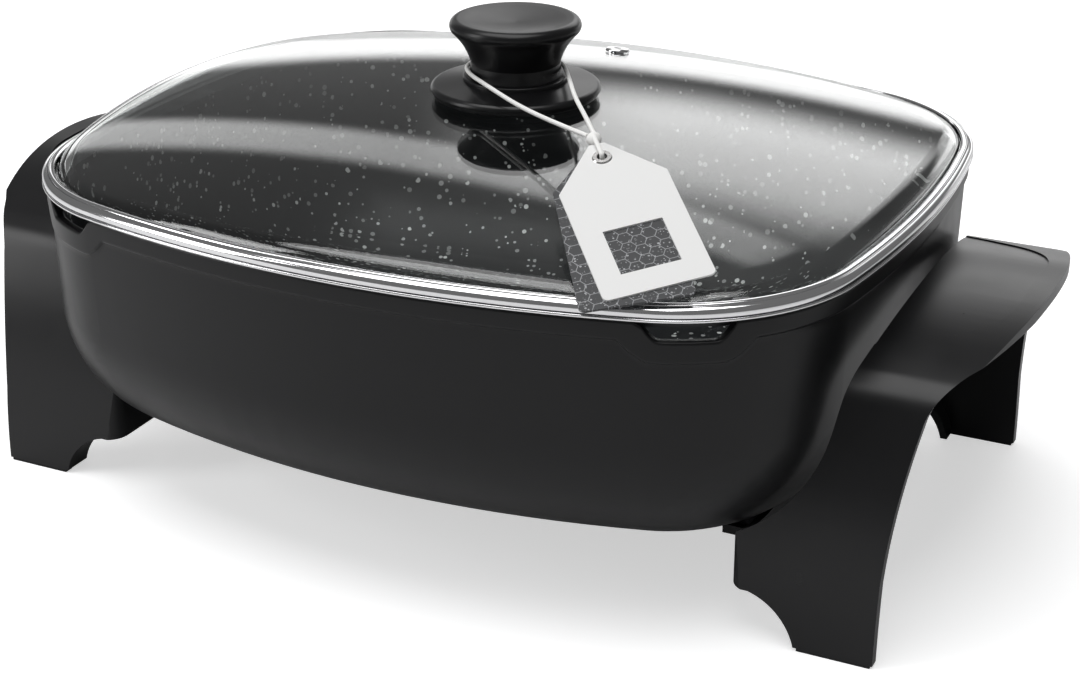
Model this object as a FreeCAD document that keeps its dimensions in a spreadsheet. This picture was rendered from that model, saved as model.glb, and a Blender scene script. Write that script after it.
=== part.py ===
import FreeCAD, Part
import math
import os
import re
import Sketcher
from FreeCAD import Placement, Rotation, Vector

# Electric skillet: a deep cast pan on two moulded end brackets, with a lift-off glass lid.
# The origin is the centre of the footprint on the table, +X runs along the long axis,
# -Y is the front and +Z is up. All sizes are in millimetres.

SIZES = [
    ("lid_half_length", 200.0, "outer edge of the lid's steel rim, along X"),
    ("lid_half_width", 175.0, "outer edge of the lid's steel rim, along Y"),
    ("long_side_radius", 480.0, "bow of the front and back sides in plan"),
    ("short_side_radius", 612.0, "bow of the two ends in plan"),
    ("plan_corner_radius", 88.0, "corner of the lid and the pan in plan"),
    ("pan_top", 153.2, "height of the pan's rim above the table"),
    ("pan_base", 37.0, "height of the pan's underside"),
    ("pan_inset", 2.7, "from the lid's outline in to the pan's wall at the rim"),
    ("pan_draft", 2.8, "how far the wall leans in before it curves"),
    ("pan_curve", 60.0, "outside radius between the wall and the underside"),
    ("pan_wall", 3.6, "thickness of the pan's wall"),
    ("pan_floor", 5.0, "thickness of the pan's floor"),
    ("band_height", 8.6, "height of the raised band around the pan's rim"),
    ("band_thickness", 1.1, "how far the band stands out from the wall"),
    ("spout_bearing", 62.0, "direction of a pour spout from its corner's centre, in degrees"),
    ("spout_width", 37.0, "width of a pour spout at the rim"),
    ("spout_depth", 8.0, "depth of a pour spout below the rim"),
    ("spout_slope", 5.0, "how much each end of a spout slopes inwards"),
    ("spout_shoulder", 9.5, "how far the band reaches past a spout at each end"),
    ("ridge_width", 15.0, "cast ridge under the floor that holds the heating tube"),
    ("ridge_depth", 8.0, "how far that ridge hangs below the floor"),
    ("loop_half_length", 112.0, "centre line of the heating tube, along X"),
    ("loop_half_width", 76.0, "centre line of the heating tube, along Y"),
    ("loop_corner", 34.0, "bend radius of the heating tube"),
    ("tube_diameter", 7.6, "outside of the heating tube"),
    ("tube_gap", 0.2, "space between the heating tube and its groove"),
    ("tube_height", 33.0, "height of the heating tube's centre line"),
    ("tube_lead", 6.0, "straight lead of the heating tube next to the socket"),
    ("terminal_spacing", 26.0, "distance between the two inlet pins"),
    ("terminal_diameter", 4.8, "outside of an inlet pin"),
    ("terminal_root", 5.6, "outside of the thicker root of an inlet pin"),
    ("terminal_length", 27.0, "how far an inlet pin reaches out of the socket block"),
    ("terminal_height", 27.0, "height of the inlet pins above the table"),
    ("sensor_bore", 7.4, "bore that takes a thermostat probe's tip"),
    ("sensor_depth", 24.0, "depth of that bore"),
    ("socket_face", 141.0, "distance from the centre to the face of the socket block"),
    ("socket_length", 27.0, "length of the socket block along X"),
    ("socket_half_width", 22.0, "half the width of the socket block"),
    ("socket_height", 20.0, "height of the socket block below the floor"),
    ("guard_length", 30.0, "how far the guard reaches over the pins"),
    ("guard_half_width", 25.6, "half the width of the inlet guard outside"),
    ("guard_bottom", 13.0, "height of the guard's lower edge"),
    ("guard_top", 36.6, "height of the guard's upper edge"),
    ("guard_wall", 1.2, "thickness of the guard's sheet"),
    ("guard_corner", 5.0, "outside corner of the guard"),
    ("bracket_top", 134.0, "highest point of a bracket's handle"),
    ("handle_reach", 256.0, "outer edge of a handle from the centre"),
    ("handle_edge_radius", 224.0, "bow of a handle's outer edge in plan"),
    ("crown_radius", 225.0, "arch of a handle, seen from the end"),
    ("leg_radius", 270.0, "lean of a leg, seen from the end"),
    ("leg_half_spread", 117.0, "half the distance over the front and back feet"),
    ("bend_radius", 24.0, "bend between a handle and its leg"),
    ("bracket_wall", 5.0, "thickness of the moulding"),
    ("pan_clearance", 5.5, "gap between a bracket and the pan's wall"),
    ("lug_inner", 155.5, "inner end of a leg's lug from the centre"),
    ("lug_bottom", 22.6, "height of the lug's lower edge"),
    ("lug_top", 47.5, "height above which the skirt stops"),
    ("lug_corner", 10.0, "rounded upright corner of the lug"),
    ("skirt_wall", 4.4, "thickness of the skirt between the legs"),
    ("foot_inner", 186.0, "inner corner of a foot from the centre"),
    ("foot_outer", 220.2, "outer corner of a foot from the centre"),
    ("leg_outer_high", 227.8, "outer edge of a leg just under the handle"),
    ("flange_depth", 15.0, "depth of the stiffening flange inside a leg"),
    ("flange_wall", 3.2, "thickness of that flange"),
    ("crease_depth", 0.7, "depth of the shallow panel in the handle's top"),
    ("crease_reach", 246.0, "outer end of that panel from the centre"),
    ("crease_half_width", 68.0, "half the width of that panel next to the pan"),
    ("boss_distance", 146.5, "screw bosses from the centre, along X"),
    ("boss_spread", 62.0, "screw bosses from the centre, along Y"),
    ("boss_diameter", 14.0, "outside of a screw boss"),
    ("tab_thickness", 4.2, "thickness of a bracket's screw tab"),
    ("tab_half_width", 11.0, "half the width of a screw tab"),
    ("screw_diameter", 5.0, "thread of a bracket screw"),
    ("screw_head_diameter", 9.5, "head of a bracket screw"),
    ("screw_head_height", 3.0, "height of a bracket screw's head"),
    ("screw_grip", 11.0, "length of a bracket screw below its head"),
    ("fit_gap", 0.1, "space around a screw or a stud in its hole"),
    ("pad_height", 1.4, "thickness of a rubber foot pad"),
    ("pad_margin", 1.2, "from a foot's edges in to its pad"),
    ("stud_diameter", 2.6, "stud of a foot pad"),
    ("stud_length", 5.0, "length of a foot pad's stud"),
    ("lid_gap", 0.3, "space between the pan's rim and the lid"),
    ("rim_height", 7.0, "height of the lid's steel rim"),
    ("rim_sheet", 0.8, "thickness of the rim's sheet"),
    ("rim_top_width", 6.4, "width of the rim's upper lip"),
    ("rim_bottom_width", 9.6, "width of the rim's lower lip"),
    ("rim_skirt", 5.0, "how far the rim reaches down inside the pan"),
    ("seat_gap", 0.3, "space between a soft or loose piece and its seat"),
    ("glass_wall", 4.0, "thickness of the glass"),
    ("glass_top", 184.0, "highest point of the glass"),
    ("glass_bow_long", 1300.0, "crown of the glass along X"),
    ("glass_bow_short", 700.0, "crown of the glass along Y"),
    ("glass_inset", 6.6, "from the lid's outline in to the glass's shoulder"),
    ("glass_shoulder", 7.0, "rounded shoulder of the glass"),
    ("vent_offset", 116.0, "steam vent from the centre, towards the back"),
    ("vent_bore", 4.0, "hole through the steam vent"),
    ("vent_shank", 7.0, "outside of the vent's shank"),
    ("vent_flange", 12.5, "outside of the vent's flanges"),
    ("vent_flange_height", 1.5, "thickness of each flange"),
    ("knob_base_radius", 39.4, "widest part of the knob's base disc"),
    ("knob_base_height", 6.8, "height of the base disc at its middle"),
    ("knob_base_edge", 2.6, "height of the base disc's rounded edge"),
    ("collar_radius", 24.4, "step ring around the foot of the knob's neck"),
    ("collar_height", 2.0, "height of that ring"),
    ("neck_radius", 20.6, "narrowest part of the knob's neck"),
    ("neck_height", 6.0, "height of the neck before it flares"),
    ("knob_top_radius", 30.5, "widest part of the knob's top"),
    ("knob_lip", 4.2, "height of the rounded lip around the top"),
    ("knob_height", 36.2, "height of the whole knob above the glass"),
    ("knob_dish", 2.2, "depth of the dished top"),
    ("flare_radius", 31.0, "hollow of the flare between the neck and the top"),
    ("gasket_radius", 33.0, "silicone washer between the knob and the glass"),
    ("gasket_height", 0.8, "thickness of each silicone washer"),
    ("washer_radius", 9.0, "steel washer under the glass"),
    ("washer_height", 1.2, "thickness of the steel washer"),
    ("knob_screw_diameter", 5.0, "screw that holds the knob"),
    ("knob_screw_reach", 24.0, "how far that screw goes in above the glass"),
    ("knob_screw_head", 10.0, "head of the knob's screw"),
    ("knob_screw_head_height", 3.2, "height of that head"),
    ("tag_eye_x", 85.6, "eyelet of the hanging tag, along X"),
    ("tag_eye_y", -93.0, "eyelet of the hanging tag, along Y"),
    ("tag_eye_z", 193.5, "eyelet of the hanging tag, above the table"),
    ("tag_heading", -48.2, "direction in which the tag points, in degrees from +X"),
    ("tag_tilt", 20.1, "slope of the tag down from its eyelet, in degrees"),
    ("tag_roll", 10.7, "how far the tag's right edge is raised, in degrees"),
    ("tag_half_width", 22.7, "half the width of the tag"),
    ("tag_length", 80.4, "from the eyelet to the tag's lower edge"),
    ("tag_shoulder", 16.1, "from the eyelet to the tag's full width"),
    ("tag_top", 8.8, "from the eyelet to the tag's top edge"),
    ("tag_top_half_width", 3.2, "half the width of the tag's top edge"),
    ("tag_thickness", 0.8, "thickness of the front card"),
    ("tag_corner", 2.6, "rounded corner of a card"),
    ("window_near", 43.0, "from the eyelet to the window's upper edge"),
    ("window_far", 68.5, "from the eyelet to the window's lower edge"),
    ("window_half_width", 12.3, "half the width of the window"),
    ("backing_turn", -7.0, "how far the card behind is turned about the eyelet, in degrees"),
    ("backing_thickness", 1.0, "thickness of the card behind"),
    ("backing_extra", 5.0, "how much longer the card behind is"),
    ("card_gap", 0.0, "space between the two cards"),
    ("eyelet_radius", 4.2, "outside of the eyelet's flange"),
    ("eyelet_bore", 2.2, "radius of the eyelet's hole"),
    ("eyelet_lip", 0.5, "height of the eyelet's flange above a card"),
    ("string_diameter", 2.0, "cotton string"),
    ("knot_radius", 3.2, "overhand knot in the string"),
]

doc = FreeCAD.newDocument("electric_skillet")
sheet = doc.addObject("Spreadsheet::Sheet", "sizes")
sheet.set("A1", "name")
sheet.set("B1", "value")
sheet.set("C1", "meaning")
for row, (alias, number, meaning) in enumerate(SIZES, start=2):
    sheet.set("A%d" % row, alias)
    sheet.set("B%d" % row, str(number))
    sheet.setAlias("B%d" % row, alias)
    sheet.set("C%d" % row, meaning)
doc.recompute()
ALIASES = {alias for alias, number, meaning in SIZES}
AXIS_Z = Vector(0, 0, 1)
nodes = []


def size(alias):
    """Value of one cell of the sheet."""
    return float(sheet.get(alias))


def bind(text):
    """The same expression with each word tied to its cell."""
    return re.sub(r"[a-z][a-z0-9_]+", lambda word: "sizes." + word.group(0)
                  if word.group(0) in ALIASES else word.group(0), text)


def number_of(text):
    """Value of an expression of the sheet's words."""
    value = sheet.evalExpression(bind(text))
    return float(getattr(value, "Value", value))


def new_node(type_name, label):
    """A document object that becomes a node of the part."""
    item = doc.addObject(type_name, label)
    item.Label = label
    nodes.append(item)
    return item


def tool(type_name, name, sizes, place=None):
    """A primitive or a boolean that only shapes another piece."""
    item = doc.addObject(type_name, name)
    for prop, text in sizes.items():
        item.setExpression(prop, bind(text))
    for prop, text in (place or {}).items():
        item.setExpression("Placement.Base." + prop, bind(text))
    return item


def shape_node(label, shape):
    """A node whose outline follows the plan, which primitives can't give."""
    item = new_node("Part::Feature", label)
    item.Shape = shape
    return item


def plane_of(body, role):
    """One of a body's own origin planes."""
    return [item for item in body.Origin.OriginFeatures if item.Role == role][0]


def arc_between(start, end, radius, side):
    """Arc from start to end, with its centre to the left (side 1) or right (side -1)."""
    chord = end - start
    half = chord.Length / 2
    normal = Vector(-chord.y, chord.x, 0).normalize() * side
    centre = (start + end) * 0.5 + normal * math.sqrt(max(radius * radius - half * half, 0))
    first, last = (start, end) if side > 0 else (end, start)
    angle_a = math.atan2(first.y - centre.y, first.x - centre.x)
    angle_b = math.atan2(last.y - centre.y, last.x - centre.x)
    return Part.ArcOfCircle(Part.Circle(centre, AXIS_Z, radius), angle_a, angle_b)


def outline_sketch(body, role, corners, name="Outline"):
    """A closed sketch: corners of (x, y, arc), where arc shapes the side to the next corner."""
    sketch = body.newObject("Sketcher::SketchObject", name)
    sketch.AttachmentSupport = [(plane_of(body, role), "")]
    sketch.MapMode = "FlatFace"
    points = [Vector(number_of(x), number_of(y), 0) for x, y, arc in corners]
    ends = []
    for index, (x, y, arc) in enumerate(corners):
        start = points[index]
        end = points[(index + 1) % len(points)]
        if arc:
            radius, side = arc
            geometry = arc_between(start, end, number_of(radius), side)
            ends.append((1, 2) if side > 0 else (2, 1))
        else:
            geometry = Part.LineSegment(start, end)
            ends.append((1, 2))
        sketch.addGeometry(geometry, False)
    for index, (x, y, arc) in enumerate(corners):
        following = (index + 1) % len(corners)
        sketch.addConstraint(Sketcher.Constraint(
            "Coincident", index, ends[index][1], following, ends[following][0]))
    for index, (x, y, arc) in enumerate(corners):
        start = ends[index][0]
        for kind, text, axis in (("DistanceX", x, -2), ("DistanceY", y, -1)):
            if text == "0":
                sketch.addConstraint(Sketcher.Constraint("PointOnObject", index, start, axis))
                continue
            place = sketch.addConstraint(Sketcher.Constraint(
                kind, -1, 1, index, start, number_of(text)))
            sketch.setExpression("Constraints[%d]" % place, bind(text))
        if arc:
            place = sketch.addConstraint(Sketcher.Constraint("Radius", index, number_of(arc[0])))
            sketch.setExpression("Constraints[%d]" % place, bind(arc[0]))
    return sketch


def turned(label, corners):
    """A round piece: half a section, in radius and height, turned about the Z axis."""
    body = new_node("PartDesign::Body", label)
    sketch = outline_sketch(body, "XZ_Plane", corners, "Section")
    feature = body.newObject("PartDesign::Revolution", "Turn")
    feature.Profile = (sketch, [""])
    feature.ReferenceAxis = (sketch, ["V_Axis"])
    feature.Angle = 360
    body.Tip = feature
    return body


# Plan outline

def corner_centre():
    """Centre of the first quadrant's corner arc, tangent inside both bowed sides."""
    long_centre = Vector(0, size("lid_half_width") - size("long_side_radius"), 0)
    short_centre = Vector(size("lid_half_length") - size("short_side_radius"), 0, 0)
    long_reach = size("long_side_radius") - size("plan_corner_radius")
    short_reach = size("short_side_radius") - size("plan_corner_radius")
    between = short_centre - long_centre
    apart = between.Length
    along = (long_reach ** 2 - short_reach ** 2 + apart ** 2) / (2 * apart)
    across = math.sqrt(long_reach ** 2 - along ** 2)
    unit = between * (1 / apart)
    normal = Vector(-unit.y, unit.x, 0)
    choices = [long_centre + unit * along + normal * across * sign for sign in (1, -1)]
    return max(choices, key=lambda point: point.x + point.y), long_centre, short_centre


CORNER, LONG_CENTRE, SHORT_CENTRE = corner_centre()


def plan_wire(inset, height):
    """The lid's plan outline, moved in by inset, as eight tangent arcs."""
    corner_radius = size("plan_corner_radius") - inset
    to_long = (CORNER - LONG_CENTRE).normalize()
    to_short = (CORNER - SHORT_CENTRE).normalize()
    on_long = LONG_CENTRE + to_long * (size("long_side_radius") - inset)
    on_short = SHORT_CENTRE + to_short * (size("short_side_radius") - inset)
    on_corner = CORNER + (to_long + to_short).normalize() * corner_radius
    end = Vector(size("lid_half_length") - inset, 0, 0)
    side = Vector(0, size("lid_half_width") - inset, 0)

    def at(point, flip_x, flip_y):
        return Vector(point.x * flip_x, point.y * flip_y, height)

    ring = [(at(on_short, 1, -1), at(end, 1, 1), at(on_short, 1, 1)),
            (at(on_short, 1, 1), at(on_corner, 1, 1), at(on_long, 1, 1)),
            (at(on_long, 1, 1), at(side, 1, 1), at(on_long, -1, 1)),
            (at(on_long, -1, 1), at(on_corner, -1, 1), at(on_short, -1, 1)),
            (at(on_short, -1, 1), at(end, -1, 1), at(on_short, -1, -1)),
            (at(on_short, -1, -1), at(on_corner, -1, -1), at(on_long, -1, -1)),
            (at(on_long, -1, -1), at(side, 1, -1), at(on_long, 1, -1)),
            (at(on_long, 1, -1), at(on_corner, 1, -1), at(on_short, 1, -1))]
    return Part.Wire([Part.Arc(*points).toShape() for points in ring])


def slab(inset, bottom, top):
    """The plan outline as a solid between two heights."""
    return Part.Face(plan_wire(inset, bottom)).extrude(Vector(0, 0, top - bottom))


def ring(outer_inset, inner_inset, bottom, top):
    """A wall that follows the plan outline."""
    return slab(outer_inset, bottom, top).cut(slab(inner_inset, bottom, top))


def bowl(inset, draft, bottom, top, curve):
    """A drafted solid over the plan outline, with one large curve round its foot."""
    block = Part.makeLoft([plan_wire(inset + draft, bottom), plan_wire(inset, top)], True, True)
    foot = [edge for edge in block.Edges
            if max(vertex.Z for vertex in edge.Vertexes) < bottom + 1e-6]
    return block.makeFillet(curve, foot)


def box(x0, x1, y0, y1, z0, z1):
    """A block between two corners."""
    return Part.makeBox(x1 - x0, y1 - y0, z1 - z0, Vector(x0, y0, z0))


def rod(diameter, length, base, direction=AXIS_Z):
    """A round bar."""
    return Part.makeCylinder(diameter / 2, length, base, direction)


# Pan

def spout_prism(width, slope, depth):
    """A sloping-sided notch at the front right corner, wide enough to pass through the wall."""
    reach = size("pan_wall") * 4
    top = size("pan_top")
    half = width / 2
    flat = [Vector(-reach, -half, top + reach), Vector(-reach, half, top + reach),
            Vector(-reach, half, top), Vector(-reach, half - slope, top - depth),
            Vector(-reach, slope - half, top - depth), Vector(-reach, -half, top)]
    prism = Part.Face(Part.makePolygon(flat + flat[:1])).extrude(Vector(2 * reach, 0, 0))
    upright = [edge for edge in prism.Edges
               if abs(edge.Length - 2 * reach) < 1e-6
               and abs(edge.Vertexes[0].Z - (top - depth)) < 1e-6]
    prism = prism.makeFillet(slope * 0.8, upright)
    bearing = -size("spout_bearing")
    prism.rotate(Vector(0, 0, 0), AXIS_Z, bearing)
    angle = math.radians(bearing)
    distance = size("plan_corner_radius") - size("pan_inset")
    prism.translate(Vector(CORNER.x + distance * math.cos(angle),
                           -CORNER.y + distance * math.sin(angle), 0))
    return prism


def mirrored_x(shape):
    """The same shape at the other end."""
    return shape.mirror(Vector(0, 0, 0), Vector(1, 0, 0))



def quarter(start, end, centre):
    """A quarter turn about a centre, at the same height."""
    radius = (start - centre).Length
    middle = centre + ((start + end) * 0.5 - centre).normalize() * radius
    return Part.Arc(start, middle, end).toShape()


def element_wire():
    """Centre line of the heating tube: a loop with both ends drawn in to the inlet."""
    long = size("loop_half_length")
    wide = size("loop_half_width")
    bend = size("loop_corner")
    half = size("terminal_spacing") / 2
    height = size("tube_height")
    start = size("socket_length") - size("socket_face")
    turn = (wide - half) / 2
    edges = []
    for side in (-1, 1):
        ends = [Vector(start, half * side, height),
                Vector(start + size("tube_lead"), half * side, height),
                Vector(start + size("tube_lead") + turn, (half + turn) * side, height),
                Vector(start + size("tube_lead") + 2 * turn, wide * side, height),
                Vector(long - bend, wide * side, height),
                Vector(long, (wide - bend) * side, height)]
        edges.append(Part.makeLine(ends[0], ends[1]))
        edges.append(quarter(ends[1], ends[2], Vector(ends[1].x, ends[2].y, height)))
        edges.append(quarter(ends[2], ends[3], Vector(ends[3].x, ends[2].y, height)))
        edges.append(Part.makeLine(ends[3], ends[4]))
        edges.append(quarter(ends[4], ends[5], Vector(ends[4].x, ends[5].y, height)))
    edges.append(Part.makeLine(Vector(long, bend - wide, height), Vector(long, wide - bend, height)))
    return Part.Wire(Part.__sortEdges__(edges))


def swept(section, path):
    """A closed section carried along a flat path."""
    return path.makePipeShell([section], True, False)


def tube_along(path, radius):
    """A round bar along a path that starts along X."""
    first = path.OrderedVertexes[0].Point
    heading = path.OrderedEdges[0].tangentAt(path.OrderedEdges[0].FirstParameter)
    return swept(Part.Wire(Part.makeCircle(radius, first, heading)), path)


def pan_shape():
    """Deep pan, cast in one piece, with its band, spouts, ridge, socket and bosses."""
    inset = size("pan_inset")
    top = size("pan_top")
    base = size("pan_base")
    wall = size("pan_wall")
    curve = size("pan_curve")
    body = bowl(inset, size("pan_draft"), base, top, curve)
    band_low = top - size("band_height")
    notch_depth = size("spout_depth")
    band = ring(inset - size("band_thickness"), inset + wall / 2, band_low - notch_depth, top)
    collar = spout_prism(size("spout_width") + 2 * size("spout_shoulder"), size("spout_shoulder"),
                         notch_depth + size("band_height"))
    plain = slab(0, band_low - notch_depth - 1, band_low)
    for shape in (collar, mirrored_x(collar)):
        plain = plain.cut(shape)
    body = body.fuse(band.cut(plain))
    ridge_path = element_wire()
    first = ridge_path.OrderedVertexes[0].Point
    half = size("ridge_width") / 2
    low = base - size("ridge_depth")
    high = base + size("pan_floor") / 2
    section = Part.makePolygon([Vector(first.x, first.y + dy, z) for dy, z in (
        (-half, low), (half, low), (half, high), (-half, high), (-half, low))])
    body = body.fuse(swept(section, ridge_path))
    face = -size("socket_face")
    block = box(face, face + size("socket_length"), -size("socket_half_width"),
                size("socket_half_width"), base - size("socket_height"),
                base + size("pan_floor") / 2)
    body = body.fuse(block)
    boss_low = size("lug_bottom") + size("tab_thickness")
    for side_x in (-1, 1):
        for side_y in (-1, 1):
            centre = Vector(side_x * size("boss_distance"), side_y * size("boss_spread"), boss_low)
            body = body.fuse(rod(size("boss_diameter"), base + size("pan_floor") - boss_low, centre))
    inside = bowl(inset + wall, size("pan_draft"), base + size("pan_floor"), top + 1,
                  curve - (wall + size("pan_floor")) / 2)
    body = body.cut(inside)
    for side_x in (-1, 1):
        for side_y in (-1, 1):
            centre = Vector(side_x * size("boss_distance"), side_y * size("boss_spread"), boss_low)
            hole = size("screw_diameter") + 2 * size("fit_gap")
            body = body.cut(rod(hole, size("screw_grip") - size("tab_thickness") + 1, centre))
    spout = spout_prism(size("spout_width"), size("spout_slope"), notch_depth)
    for shape in (spout, mirrored_x(spout)):
        body = body.cut(shape)
    groove = size("tube_diameter") / 2 + size("tube_gap")
    body = body.cut(tube_along(element_wire(), groove))
    mouth = Part.makePolygon([Vector(first.x, first.y + dy, z) for dy, z in (
        (-groove, low - 1), (groove, low - 1), (groove, size("tube_height")),
        (-groove, size("tube_height")), (-groove, low - 1))])
    body = body.cut(swept(mouth, element_wire()))
    height = size("terminal_height")
    along = Vector(1, 0, 0)
    body = body.cut(rod(size("sensor_bore"), size("sensor_depth"), Vector(face, 0, height), along))
    for side in (-1, 1):
        pin = Vector(face, side * size("terminal_spacing") / 2, height)
        hole = size("terminal_root") + 2 * size("fit_gap")
        body = body.cut(rod(hole, size("socket_length"), pin, along))
    return body.removeSplitter()


pan = shape_node("pan", pan_shape())


# Heating element and its inlet

shape_node("heating_element", tube_along(element_wire(), size("tube_diameter") / 2))

pins = new_node("Part::MultiFuse", "terminal_pins")
pin_parts = []
PIN_SHOULDER = "-socket_face - terminal_length + terminal_diameter / 2"
PIN_ROOT = "-socket_face - guard_wall"
for side, name in ((-1, "front"), (1, "back")):
    shank = tool("Part::Cylinder", "pin_shank_" + name, {
        "Radius": "terminal_diameter / 2",
        "Height": "terminal_length + socket_length - 2 * terminal_diameter"})
    shank.Placement.Rotation = Rotation(Vector(0, 1, 0), 90)
    nose = tool("Part::Cone", "pin_nose_" + name, {
        "Radius1": "terminal_diameter / 2", "Radius2": "terminal_diameter / 4",
        "Height": "terminal_diameter / 2"})
    nose.Placement.Rotation = Rotation(Vector(0, 1, 0), -90)
    root = tool("Part::Cylinder", "pin_root_" + name, {
        "Radius": "terminal_root / 2",
        "Height": "socket_length + guard_wall - 1.5 * terminal_diameter"})
    root.Placement.Rotation = Rotation(Vector(0, 1, 0), 90)
    for item, start in ((shank, PIN_SHOULDER), (nose, PIN_SHOULDER), (root, PIN_ROOT)):
        item.setExpression("Placement.Base.x", bind(start))
        item.setExpression("Placement.Base.y", bind("%d * terminal_spacing / 2" % side))
        item.setExpression("Placement.Base.z", bind("terminal_height"))
    pin_parts += [shank, nose, root]
pins.Shapes = pin_parts


def guard_shape():
    """Sheet guard around the pins: a rounded tunnel with a back wall that the pins pass."""
    face = -size("socket_face")
    half = size("guard_half_width")
    low = size("guard_bottom")
    high = size("guard_top")
    wall = size("guard_wall")
    length = size("guard_length")
    corner = size("guard_corner")

    def tunnel(grow, x_start, x_end):
        block = box(x_start, x_end, -half + grow, half - grow, low + grow, high - grow)
        along = [edge for edge in block.Edges if abs(edge.tangentAt(0).x) > 0.99]
        return block.makeFillet(corner - grow, along)

    shell = tunnel(0, face - length, face).cut(tunnel(wall, face - length - 1, face - wall))
    height = size("terminal_height")
    back = Vector(1, 0, 0)
    shell = shell.cut(rod(size("sensor_bore") + 2, 3 * wall, Vector(face - 2 * wall, 0, height), back))
    for side in (-1, 1):
        hole = Vector(face - 2 * wall, side * size("terminal_spacing") / 2, height)
        shell = shell.cut(rod(size("terminal_diameter") + 3, 3 * wall, hole, back))
    return shell


shape_node("inlet_guard", guard_shape())


# End brackets

def arch_solid(shrink):
    """The space under one arch: crown, bends and leaning legs, seen from the end."""
    top = size("bracket_top") - shrink
    crown = size("crown_radius") - shrink
    leg = size("leg_radius") - shrink
    bend = size("bend_radius") - shrink
    crown_centre = Vector(0, 0, top - crown)
    leg_centre = Vector(0, size("leg_radius") - size("leg_half_spread"), 0)
    near = crown - bend
    far = leg - bend
    between = leg_centre - crown_centre
    apart = between.Length
    along = (near ** 2 - far ** 2 + apart ** 2) / (2 * apart)
    across = math.sqrt(near ** 2 - along ** 2)
    unit = between * (1 / apart)
    choices = [crown_centre + unit * along + Vector(0, -unit.z, unit.y) * across * sign
               for sign in (1, -1)]
    bend_centre = min(choices, key=lambda point: point.y)
    on_crown = bend_centre + (bend_centre - crown_centre).normalize() * bend
    on_leg = bend_centre + (bend_centre - leg_centre).normalize() * bend
    middle = bend_centre + ((on_crown + on_leg) * 0.5 - bend_centre).normalize() * bend
    foot = Vector(0, leg_centre.y - leg, 0)
    half_angle = math.asin(on_leg.z / leg) / 2
    leg_middle = leg_centre + Vector(0, -leg * math.cos(half_angle), leg * math.sin(half_angle))

    def flip(point):
        return Vector(0, -point.y, point.z)

    wire = Part.Wire([
        Part.Arc(foot, leg_middle, on_leg).toShape(),
        Part.Arc(on_leg, middle, on_crown).toShape(),
        Part.Arc(on_crown, Vector(0, 0, top), flip(on_crown)).toShape(),
        Part.Arc(flip(on_crown), flip(middle), flip(on_leg)).toShape(),
        Part.Arc(flip(on_leg), flip(leg_middle), flip(foot)).toShape(),
        Part.makeLine(flip(foot), foot)])
    start = size("lug_inner") - 20
    face = Part.Face(wire)
    face.translate(Vector(start, 0, 0))
    return face.extrude(Vector(size("handle_reach") + 10 - start, 0, 0))


def leg_contour(inner_shift):
    """A leg and the handle from the front: lug, hollow, foot and flaring outer edge."""
    inner = size("lug_inner") + inner_shift
    low = size("lug_bottom") + inner_shift
    foot_in = size("foot_inner") + inner_shift
    foot_out = size("foot_outer")
    under = size("bracket_top") - size("bend_radius") * 1.35
    high = size("leg_outer_high")
    reach = size("handle_reach") + 6
    top = size("bracket_top") + 6
    lug_end = inner + 9
    hollow = Vector((lug_end + foot_in) / 2 + 2.4, 0, low * 0.68)

    def point(x, z):
        return Vector(x, 0, z)

    straight = size("bracket_top") * 0.28
    middle_out = point((foot_out + high) / 2 - 1.2, (straight + under) / 2)
    flare = point(size("handle_reach") - 15.5, size("bracket_top") - 13.6)
    flare_middle = point((high + flare.x) / 2 - 1.6, (under + flare.z) / 2 + 2.6)
    return Part.Wire([
        Part.makeLine(point(inner, top), point(inner, low)),
        Part.makeLine(point(inner, low), point(lug_end, low)),
        Part.Arc(point(lug_end, low), hollow, point(foot_in, 0)).toShape(),
        Part.makeLine(point(foot_in, 0), point(foot_out, 0)),
        Part.makeLine(point(foot_out, 0), point(foot_out, straight)),
        Part.Arc(point(foot_out, straight), middle_out, point(high, under)).toShape(),
        Part.Arc(point(high, under), flare_middle, flare).toShape(),
        Part.makeLine(flare, point(reach, size("bracket_top") - 3)),
        Part.makeLine(point(reach, size("bracket_top") - 3), point(reach, top)),
        Part.makeLine(point(reach, top), point(inner, top))])


def from_front(wire):
    """A front view contour carried through the whole depth."""
    depth = size("leg_half_spread") + 10
    face = Part.Face(wire)
    face.translate(Vector(0, -depth, 0))
    return face.extrude(Vector(0, 2 * depth, 0))


def pan_space():
    """The room that a bracket leaves around the pan."""
    return bowl(size("pan_inset") - size("pan_clearance"), size("pan_draft"),
                size("pan_base") - 1, size("bracket_top") + 20, size("pan_curve"))


def crease_prism():
    """Plan outline of the shallow panel in the handle's top."""
    reach = size("crease_reach")
    half = size("crease_half_width")
    inner = size("lug_inner")
    run = [Vector(inner, -half * 1.3, 0), Vector(reach - 24, -half * 0.86, 0)]
    bend = Vector(reach - 6, -half * 0.63, 0)
    last = Vector(reach, -half * 0.3, 0)

    def flip(point):
        return Vector(point.x, -point.y, 0)

    wire = Part.Wire([
        Part.makeLine(run[0], run[1]),
        Part.Arc(run[1], bend, last).toShape(),
        Part.makeLine(last, flip(last)),
        Part.Arc(flip(last), flip(bend), flip(run[1])).toShape(),
        Part.makeLine(flip(run[1]), flip(run[0])),
        Part.makeLine(flip(run[0]), run[0])])
    return Part.Face(wire).extrude(Vector(0, 0, size("bracket_top") + 10))


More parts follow.
